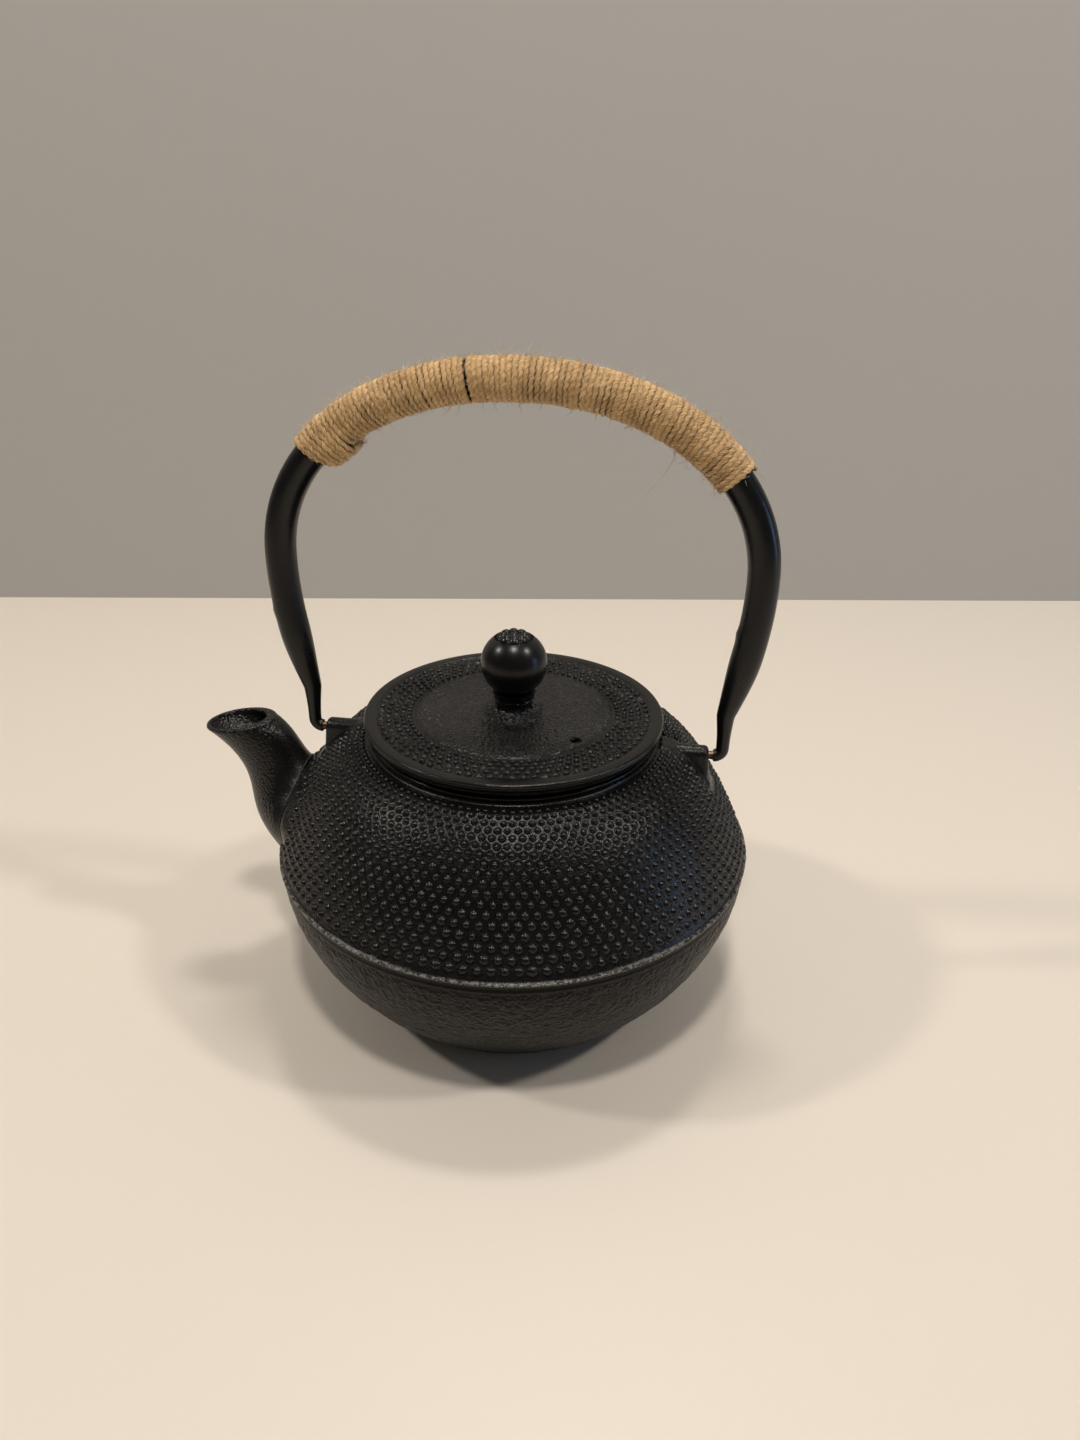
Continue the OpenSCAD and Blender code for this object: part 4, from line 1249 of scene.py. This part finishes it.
def bail_path():
    """Middle line of the tube from the right pin to the left one, as (across, height) rows."""
    bend_x = LUG_FACE + LEG_GAP - BEND_R
    right = [np.array([bend_x - 0.25, 0])]
    right += [
        np.array([bend_x + BEND_R * math.cos(a), BEND_R + BEND_R * math.sin(a)])
        for a in np.radians(np.linspace(-90, 0, 9))
    ]
    right += [leg_point(h) for h in np.linspace(BEND_R, BAIL_WIDE_H, 40)[1:]]
    right += [arch_point(a) for a in np.radians(np.linspace(0, 90, 40))[1:]]
    return np.array(right + [p * [-1, 1] for p in right[-2::-1]])


def build_bail():
    path = bail_path()
    angle = angles_round(40)
    rings = []
    for i, ((x, h), (dx, dh)) in enumerate(zip(path, unit(np.gradient(path, axis=0)))):
        at_pin = i in (0, len(path) - 1)
        radius = PIN_R - 0.15 if at_pin else tube_radius(h)
        corner = CORNER_RISE * math.exp(-(((h - CORNER_H) / CORNER_W) ** 2)) if h < BAIL_WIDE_H + 3 else 0.0
        r = radius + corner * np.clip(-np.cos(angle) * dh, 0, 1) ** 2
        ring = [x + r * np.cos(angle) * dh, r * np.sin(angle), h - r * np.cos(angle) * dx]
        rings.append(leaned(np.stack(ring, -1)))
    shell = Shell()
    shell.loft(rings)
    place(finish_mesh("bail_tube", shell, 50), "bail_group", BAIL_BLACK, "bail_black", "bail")
    for name, side in (("pivot_pin_left", -1), ("pivot_pin_right", 1)):
        inner = LUG_FACE - HOLE_DEPTH + PIN_END_GAP
        outer = LUG_FACE + LEG_GAP - BEND_R + 0.3
        stations = [(inner, PIN_R - 0.25), (inner + 0.25, PIN_R), (outer - 1.2, PIN_R), (outer, PIN_R + 0.25)]
        pin = Shell()
        pin.loft([leaned(ring_along_x(side * x, r, 28, side)) for x, r in stations])
        place(finish_mesh(name, pin, 35), "bail_group", WORN, "bail_black", "bail")


class Grip:
    """The stretch of the bail that the twine covers, by distance from its left end."""

    def __init__(self):
        angles = np.linspace(math.pi - GRIP_LEFT, GRIP_RIGHT, 800)
        self.points = np.array([arch_point(a) for a in angles])
        steps = np.linalg.norm(np.diff(self.points, axis=0), axis=1)
        self.reach = np.r_[0, np.cumsum(steps)]
        self.length = float(self.reach[-1])
        self.way = unit(np.gradient(self.points, axis=0))

    def place(self, s, radius, turn):
        """Point at a distance along the grip and out from its middle line; turn 0 is the outer side."""
        s, radius, turn = np.broadcast_arrays(np.asarray(s, float), radius, turn)
        at = [np.interp(s, self.reach, self.points[:, k]) for k in (0, 1)]
        way = [np.interp(s, self.reach, self.way[:, k]) for k in (0, 1)]
        past = np.minimum(s, 0) + np.maximum(s - self.length, 0)
        x = at[0] + way[0] * past - way[1] * radius * np.cos(turn)
        h = at[1] + way[1] * past + way[0] * radius * np.cos(turn)
        return leaned(np.stack([x, -radius * np.sin(turn), h], -1).reshape(-1, 3))


GRIP = Grip()
GRIP_MARGIN = 0.8
TWINE_PITCH = 1.62
TURN_STEPS = 60
# How far the strand strays from its place along the grip, and how far it lifts, by chance and in waves
CHANCE_STRAY = 0.16
WAVE_STRAY = 0.22
CHANCE_LIFT = 0.14
WAVE_LIFT = 0.12
# Lean of the turns: most at the left end, fading over so much of the grip, and the rest by chance
LEFT_LEAN = 0.7
LEFT_LEAN_W = 60
CHANCE_LEAN = 0.35
TWINE_HALF_W = 0.86
TWINE_HALF_T = 0.64
# The winding stands this far off the tube
WINDING_GAP = 0.06
# A strand twists on itself this often in one turn round the tube: a turn's length over the twist's
STRAND_TWIST = 36 / 4.2
# A strand's fibres spread over this much of its width in the grain of its colour
GRAIN_SPREAD = 1.6
TAIL_LUMP = 2.6
TAIL_LUMP_SPAN = (0.4, 5.0, 10.8, 14.2)
TAIL_START = 8.0
TAIL_LENGTH = 6.2
TAIL_R = 1.35
TAIL_FIBRES = 60
STANDING_HAIRS = 1700
LYING_HAIRS = 800
# Loose fibres start this far off the tube, and lying ones this far
HAIR_ROOT = 1.2
LYING_ROOT = 1.3
HAIR_HINT = (0.31, 0.83, 0.47)
# Two turns part here, this far to each side
GAP_AT = 53.5
GAP_HALF_W = 0.5


def lump_height(s, turn):
    """The tail of the twine, tucked under the first turns on the bail's inner side."""
    inner = np.clip(-np.cos(turn + 0.25), 0, 1) ** 2
    return TAIL_LUMP * hump(s, *TAIL_LUMP_SPAN) * inner


def twine_line():
    """Distance, turn and lift of the strand's middle and its count of turns, from the left end on."""
    turns = int(GRIP.length / TWINE_PITCH)
    at = np.arange(turns * TURN_STEPS + 1) / TURN_STEPS
    turn = TURN * at
    s = GRIP_MARGIN + (GRIP.length - 2 * GRIP_MARGIN) * at / turns
    lean = CHANCE_LEAN * lumps_along(s, 14, 33)
    around = np.stack([s * 0.6, 6 * np.cos(turn), 6 * np.sin(turn)], -1)
    s = s + CHANCE_STRAY * lumps_along(at * 0.9, 1.0, 31) + WAVE_STRAY * lumps(around, 3.0, 32)
    lean = lean + LEFT_LEAN * (1 - smooth_step(0, LEFT_LEAN_W, s))
    s = s - lean * np.cos(turn)
    s = s + GAP_HALF_W * hump(s - GAP_AT, -3.0, 0.0, 0.0, 3.0) * np.sign(s - GAP_AT)
    lift = CHANCE_LIFT * lumps_along(at * 0.9, 0.7, 34) + WAVE_LIFT * lumps(around, 2.2, 35)
    return s, turn, lift, at


def add_layer(mesh, name, values):
    """Stores a number or a vector at each of a mesh's points; the caps' middles, which come last, get 0."""
    kind, key = ("FLOAT_VECTOR", "vector") if values.ndim == 2 else ("FLOAT", "value")
    full = np.zeros((len(mesh.vertices), *values.shape[1:]), np.float32)
    full[: len(values)] = values
    mesh.attributes.new(name, kind, "POINT").data.foreach_set(key, full.ravel())


def build_twine():
    """The winding: one strand of two plies, laid turn by turn."""
    s, turn, lift, at = twine_line()
    radius = GRIP_IN_R + TWINE_HALF_T + WINDING_GAP + lift + lump_height(s, turn)
    fat = 1 + 0.14 * lumps_along(at * 3, 1.0, 36)
    sides = angles_round(12)
    ply = sides - (at * TURN * STRAND_TWIST)[:, None]
    lobes = fat[:, None] * (1 + 0.22 * np.cos(2 * ply))
    across = TWINE_HALF_W * lobes * np.cos(sides)
    out = np.maximum(TWINE_HALF_T * lobes * np.sin(sides), (GRIP_IN_R - radius)[:, None] + 0.05)
    points = GRIP.place(s[:, None] + across, radius[:, None] + out, turn[:, None])
    shell = Shell()
    shell.loft(list(points.reshape(*across.shape, 3)))
    twine = finish_mesh("twine_winding", shell, 180)
    # Each point's place on the strand, in metres: along it, and round its twist
    length = np.broadcast_to((at * TURN * (GRIP_IN_R + TWINE_HALF_T))[:, None], across.shape)
    spread = TWINE_HALF_W * GRAIN_SPREAD
    strand = np.stack([length, spread * np.cos(ply), spread * np.sin(ply)], -1).reshape(-1, 3)
    add_layer(twine.data, "strand", strand * MM)
    # How near each point is to the strand's crown, where light reaches it; the material paints shade in the
    # grooves from it
    add_layer(twine.data, "crown", np.clip(out / TWINE_HALF_T, 0, 1).ravel())
    place(twine, "bail_group", TWINE, "twine", "bail_wrap")


def hair(shell, line, radius):
    """A fibre along a line of points, thinner towards its end."""
    shell.loft(swept(line, radius * np.linspace(1, 0.3, len(line)), 3, HAIR_HINT))


def add_standing_hairs(shell, rng):
    """Fibres that stand off the winding, most of them on its outer side."""
    for _ in range(STANDING_HAIRS):
        s = rng.uniform(0.5, GRIP.length - 0.5)
        turn = rng.normal(0, 1.2) if rng.rand() < 0.7 else rng.uniform(0, TURN)
        length = rng.uniform(1.2, 4.8) * (1.6 if rng.rand() < 0.12 else 1)
        rise = rng.uniform(0.1, 0.75)
        drift = rng.normal(0, 0.35)
        curl = rng.normal(0, 0.5)
        base = GRIP_IN_R + HAIR_ROOT + float(lump_height(s, turn))
        t = np.linspace(0, 1, 6)
        out = base + length * rise * t + curl * 0.4 * np.sin(3 * t)
        swing = turn + (length / base) * t * rng.choice((-1, 1)) * (1 - rise)
        hair(shell, GRIP.place(s + drift * length * t, out, swing), rng.uniform(0.06, 0.1))


def add_lying_hairs(shell, rng):
    """Fibres that lie across the strands."""
    for _ in range(LYING_HAIRS):
        s = rng.uniform(1.5, GRIP.length - 1.5)
        turn = rng.uniform(0, TURN)
        length = rng.uniform(1.5, 5.0)
        slant = rng.normal(0.25, 0.45)
        t = np.linspace(0, 1, 5)
        base = GRIP_IN_R + LYING_ROOT + float(lump_height(s, turn)) + rng.uniform(-0.12, 0.12)
        out = base + 0.12 * np.sin(3 * t + rng.uniform(0, 3))
        line = GRIP.place(s + slant * length * t, out, turn + length * t / base)
        hair(shell, line, rng.uniform(0.05, 0.085))


def add_long_ends(shell):
    """Loose ends at the left end, loops under the right half, and one hair that hangs from it."""
    end = GRIP.length
    t = np.linspace(0, 1, 14)
    for s, turn, length, hang in (
        (-0.2, -1.3, 4.5, 0.2), (-0.4, -1.6, 5.5, 0.6), (0.0, -1.9, 4.0, 0.3), (-0.3, -1.0, 3.5, -0.2),
        (end - 18, 3.3, 7.0, 0.9), (end - 16, 3.0, 8.0, 0.8), (end - 9, 2.8, 6.0, 0.8),
        (end - 4, 2.9, 6.5, 0.7), (end + 0.3, -0.6, 6.0, 0.3), (end + 0.2, -0.9, 8.0, 0.4),
    ):
        out = GRIP_IN_R + HAIR_ROOT + 0.35 * length * np.sin(math.pi * t) * (1 if hang > 0.5 else 0.3)
        along = s + (-1 if s < 10 else 1) * 0.8 * length * t + 0.5 * np.sin(5 * t + s)
        hair(shell, GRIP.place(along, out, turn + hang * t), 0.06)
    x, y, z = GRIP.place(end - 21, GRIP_IN_R + 1.0, math.pi)[0]
    t = np.linspace(0, 1, 24)
    sag = [x - 7.5 * t**1.3 + 0.9 * np.sin(5 * t), y - 1.5 * t + 0.5 * np.sin(4 * t), z - 15 * t]
    hair(shell, np.stack(sag, -1), 0.09)


def build_fuzz():
    rng = np.random.RandomState(SEED + 2)
    shell = Shell()
    add_standing_hairs(shell, rng)
    add_lying_hairs(shell, rng)
    add_long_ends(shell)
    place(finish_mesh("loose_fibres", shell, 180), "bail_group", FIBRE, "twine", "bail_wrap")


def build_tail():
    """Cut end of the twine where it comes out from under the turns."""
    t = np.linspace(0, 1, 20)
    radius = GRIP_IN_R + 1.5 + TAIL_LUMP * (0.62 - 0.30 * t)
    line = GRIP.place(TAIL_START + TAIL_LENGTH * t, radius, math.pi - 0.30 + 0.3 * t)
    ply = angles_round(14) - 6 * t[:, None]
    radii = TAIL_R * (1 + 0.14 * np.cos(2 * ply)) * np.where(t < 0.87, 1, 0.8)[:, None]
    shell = Shell()
    shell.loft(swept(line, radii, 14, (0, 1, 0)))
    rng = np.random.RandomState(SEED + 3)
    way = unit(line[-1] - line[-2])
    for _ in range(TAIL_FIBRES):
        k = np.linspace(0, 1, 5)[:, None]
        start = line[-1] + rng.normal(0, 0.35, 3)
        hair(shell, start + k * (way * rng.uniform(0.6, 2.2) + rng.normal(0, 0.7, 3)), 0.07)
    place(finish_mesh("twine_tail", shell, 180), "bail_group", FIBRE, "twine", "bail_wrap")


# ---- Infuser ----

HOLE_PITCH = 2.2
HOLE_SHARE = 0.62
HOLE_ROW = HOLE_PITCH * math.sqrt(3) / 2
HEXAGON = np.array([(1, -1), (1, 1), (0, 2), (-1, 1), (-1, -1), (0, -2)])


def hex_sheet(cells, wrap=None):
    """Plan of a perforated sheet: (u, v) points in pitches and rows, and quads round each cell's hole."""
    cells = np.array(cells)
    corner = cells[:, None, :] * [2, 3] + HEXAGON
    if wrap:
        corner[..., 0] %= 2 * wrap
    code = (corner[..., 1] + 3000) * 100000 + corner[..., 0] + 30000
    codes, found = np.unique(code, return_inverse=True)
    outer = np.stack([(codes % 100000 - 30000) / 2, (codes // 100000 - 3000) / 3], -1)
    found = found.reshape(len(cells), 6)
    hole = (cells[:, None, :] + HOLE_SHARE * HEXAGON / [2, 3]).reshape(-1, 2)
    hole_ids = len(outer) + np.arange(len(hole)).reshape(len(cells), 6)
    quads = np.stack([found, np.roll(found, -1, 1), np.roll(hole_ids, -1, 1), hole_ids], -1).reshape(-1, 4)
    return np.concatenate([outer, hole]), quads


def thick_sheet(name, front, back, quads):
    """Closes a sheet between its front and back points, with walls along every free edge."""
    shell = Shell()
    ahead = shell.add(front)
    behind = shell.add(back)
    shell.faces += ahead[quads].tolist()
    shell.faces += behind[quads][:, ::-1].tolist()
    edges = np.concatenate([quads[:, [i, (i + 1) % 4]] for i in range(4)])
    key = np.sort(edges, 1) @ [1, 10**7]
    _, first, times = np.unique(key, return_index=True, return_counts=True)
    free = edges[first[times == 1]]
    shell.quads(ahead[free[:, 1]], ahead[free[:, 0]], behind[free[:, 0]], behind[free[:, 1]])
    return finish_mesh(name, shell, 30)


def build_mesh_wall():
    columns = int(TURN * MESH_R / HOLE_PITCH / 2) * 2
    low = BASKET_Z + MESH_T + 0.05
    high = low + BASKET_H - 2 * MESH_T
    rows = int((high - low) / HOLE_ROW)
    cells = [(i + 0.5 * (j % 2), j) for j in range(rows + 1) for i in range(columns)]
    plan, quads = hex_sheet(cells, wrap=columns)
    share = (plan[:, 1] - plan[:, 1].min()) / np.ptp(plan[:, 1])

    def wall(radius):
        return polar(radius, TURN * plan[:, 0] / columns, low + share * (high - low))

    sheet = thick_sheet("infuser_mesh_wall", wall(MESH_R), wall(MESH_R - MESH_T), quads)
    place(sheet, "infuser", STEEL, "steel", "infuser_wall")


def build_mesh_floor():
    reach = int(MESH_R / HOLE_ROW) + 2
    cells = [(i + 0.5 * (j % 2), j) for j in range(-reach, reach + 1) for i in range(-reach, reach + 1)]
    cells = [(u, v) for u, v in cells if math.hypot(u * HOLE_PITCH, v * HOLE_ROW) < MESH_R - 1.0]
    plan, quads = hex_sheet(cells)
    flat = plan * [HOLE_PITCH, HOLE_ROW]
    flat *= np.minimum(1, MESH_R / np.maximum(np.hypot(*flat.T), 1e-6))[:, None]

    def level(z):
        return np.c_[flat, np.full(len(flat), z)]

    sheet = thick_sheet("infuser_mesh_floor", level(BASKET_Z + MESH_T), level(BASKET_Z), quads)
    place(sheet, "infuser", STEEL, "steel", "infuser_floor")


def build_infuser():
    build_mesh_wall()
    build_mesh_floor()
    flange_r = MOUTH_R - 0.4
    top = LEDGE_Z + SHEET_T
    rim = [
        (SKIRT_R - SHEET_T, LEDGE_Z - 6), (SKIRT_R, LEDGE_Z - 6), (SKIRT_R, LEDGE_Z),
        *arc((flange_r - 0.3, LEDGE_Z + 0.3), 0.3, -90, 90, 6), (SKIRT_R + 0.4, top),
        (SKIRT_R - 0.2, top - 0.2), (SKIRT_R - SHEET_T, top - 0.8),
    ]
    place(solid_of_turned("infuser_rim_ring", rim, 160, 40), "infuser", STEEL, "steel", "infuser_rim")
    low = BASKET_Z - SHEET_T
    lip_r = MESH_R - MESH_T - 3.0
    band = [
        (lip_r, low), *arc((SKIRT_R - 0.5, low + 0.5), 0.5, -90, 0, 5), (SKIRT_R, BASKET_Z + BAND_H),
        (SKIRT_R - SHEET_T, BASKET_Z + BAND_H), (SKIRT_R - SHEET_T, BASKET_Z), (lip_r, BASKET_Z),
    ]
    place(solid_of_turned("infuser_band_ring", band, 160, 40), "infuser", STEEL, "steel", "infuser_band")


def finish_small_parts():
    """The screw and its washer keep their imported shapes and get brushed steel."""
    for name in ("knob_screw", "screw_washer"):
        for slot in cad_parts[name].material_slots:
            slot.material = STEEL


build_pot()
build_lid()
build_knob()
build_collars()
build_bail()
build_twine()
build_tail()
build_fuzz()
build_infuser()
finish_small_parts()

# ---- Stage, light and camera ----

CAMERA_AT = Vector((47.709, -291.659, 247.218))
CAMERA_WAY = Vector((-0.11884, 0.88120, -0.45756))
CAMERA_ROLL = math.radians(0.735)
LENS = 26.0


def make_camera():
    data = bpy.data.cameras.new("camera")
    data.lens = LENS
    data.sensor_width = 36
    data.clip_start = 0.01
    camera = bpy.data.objects.new("camera", data)
    bpy.context.scene.collection.objects.link(camera)
    camera.location = CAMERA_AT * MM
    camera.rotation_mode = "QUATERNION"
    turn = CAMERA_WAY.to_track_quat("-Z", "Y").to_matrix() @ Matrix.Rotation(CAMERA_ROLL, 3, "Z")
    camera.rotation_quaternion = turn.to_quaternion()
    bpy.context.scene.camera = camera


FLOOR_COLOUR = (0.74, 0.68, 0.60)
WALL_COLOUR = (0.46, 0.45, 0.43)
STAGE_HALF_W = 1500.0
STAGE_FRONT = -1000.0
WALL_AT = 362.0
WALL_H = 1400.0
WALL_TURN = math.radians(9.2)


def make_stage():
    """A pale counter and a plain backdrop behind it."""
    c, sn = math.cos(WALL_TURN), math.sin(WALL_TURN)
    for name, profile, colour, roughness in (
        ("counter", [(STAGE_FRONT, 0.0), (WALL_AT, 0.0)], FLOOR_COLOUR, 0.45),
        ("backdrop", [(WALL_AT, 0.0), (WALL_AT, WALL_H)], WALL_COLOUR, 0.6),
    ):
        shell = Shell()
        left, right = [
            shell.add([(x * c - y * sn, x * sn + y * c, z) for y, z in profile])
            for x in (-STAGE_HALF_W, STAGE_HALF_W)
        ]
        shell.quads(left[:-1], right[:-1], right[1:], left[1:])
        stage = finish_mesh(name, shell)
        material, tree, shader = nodes_of(f"plain_{name}")
        feed(tree, shader, {"Base Color": (*colour, 1), "Roughness": roughness})
        stage.data.materials.append(material)


CEILING_H = 1.25
LAMP_COLOUR = (1.0, 0.93, 0.85)
WINDOW_COLOUR = (0.36, 0.60, 1.0)
ROOM_COLOUR = (1.0, 0.96, 0.91, 1)
ROOM_STRENGTH = 0.10
# Name, place, aim and size in metres, and power in watts
LAMPS = [
    ("lamp_middle", (0.06, -0.42, CEILING_H), (0, -0.05, 0), (0.11, 0.11), 5.9),
    ("lamp_left", (-1.20, -0.28, CEILING_H), (0, 0, 0), (0.12, 0.12), 7.2),
    ("lamp_right", (1.06, -0.16, CEILING_H), (0, 0, 0), (0.12, 0.12), 6.6),
    ("lamp_back", (0.02, 0.32, CEILING_H), (0, 0, 0), (0.2, 0.12), 4.4),
]
WINDOW = ("window", (1.5, 0.0, 0.28), (0, 0, 0.12), (0.3, 0.5), 2.0)


def area_light(name, at, aim, size, power, colour):
    data = bpy.data.lights.new(name, "AREA")
    data.shape = "RECTANGLE"
    data.size, data.size_y = size
    data.energy = power
    data.color = colour
    light = bpy.data.objects.new(name, data)
    bpy.context.scene.collection.objects.link(light)
    light.location = at
    light.rotation_mode = "QUATERNION"
    light.rotation_quaternion = (Vector(aim) - Vector(at)).to_track_quat("-Z", "Y")


def make_light():
    """Four warm ceiling lamps, a cool window low on the right, and a dim room."""
    bpy.context.scene.view_settings.view_transform = "Standard"
    world = bpy.data.worlds.new("room")
    bpy.context.scene.world = world
    world.use_nodes = True
    room = {"Color": ROOM_COLOUR, "Strength": ROOM_STRENGTH}
    feed(world.node_tree, world.node_tree.nodes["Background"], room)
    for lamp in LAMPS:
        area_light(*lamp, LAMP_COLOUR)
    area_light(*WINDOW, WINDOW_COLOUR)


make_stage()
make_light()
make_camera()
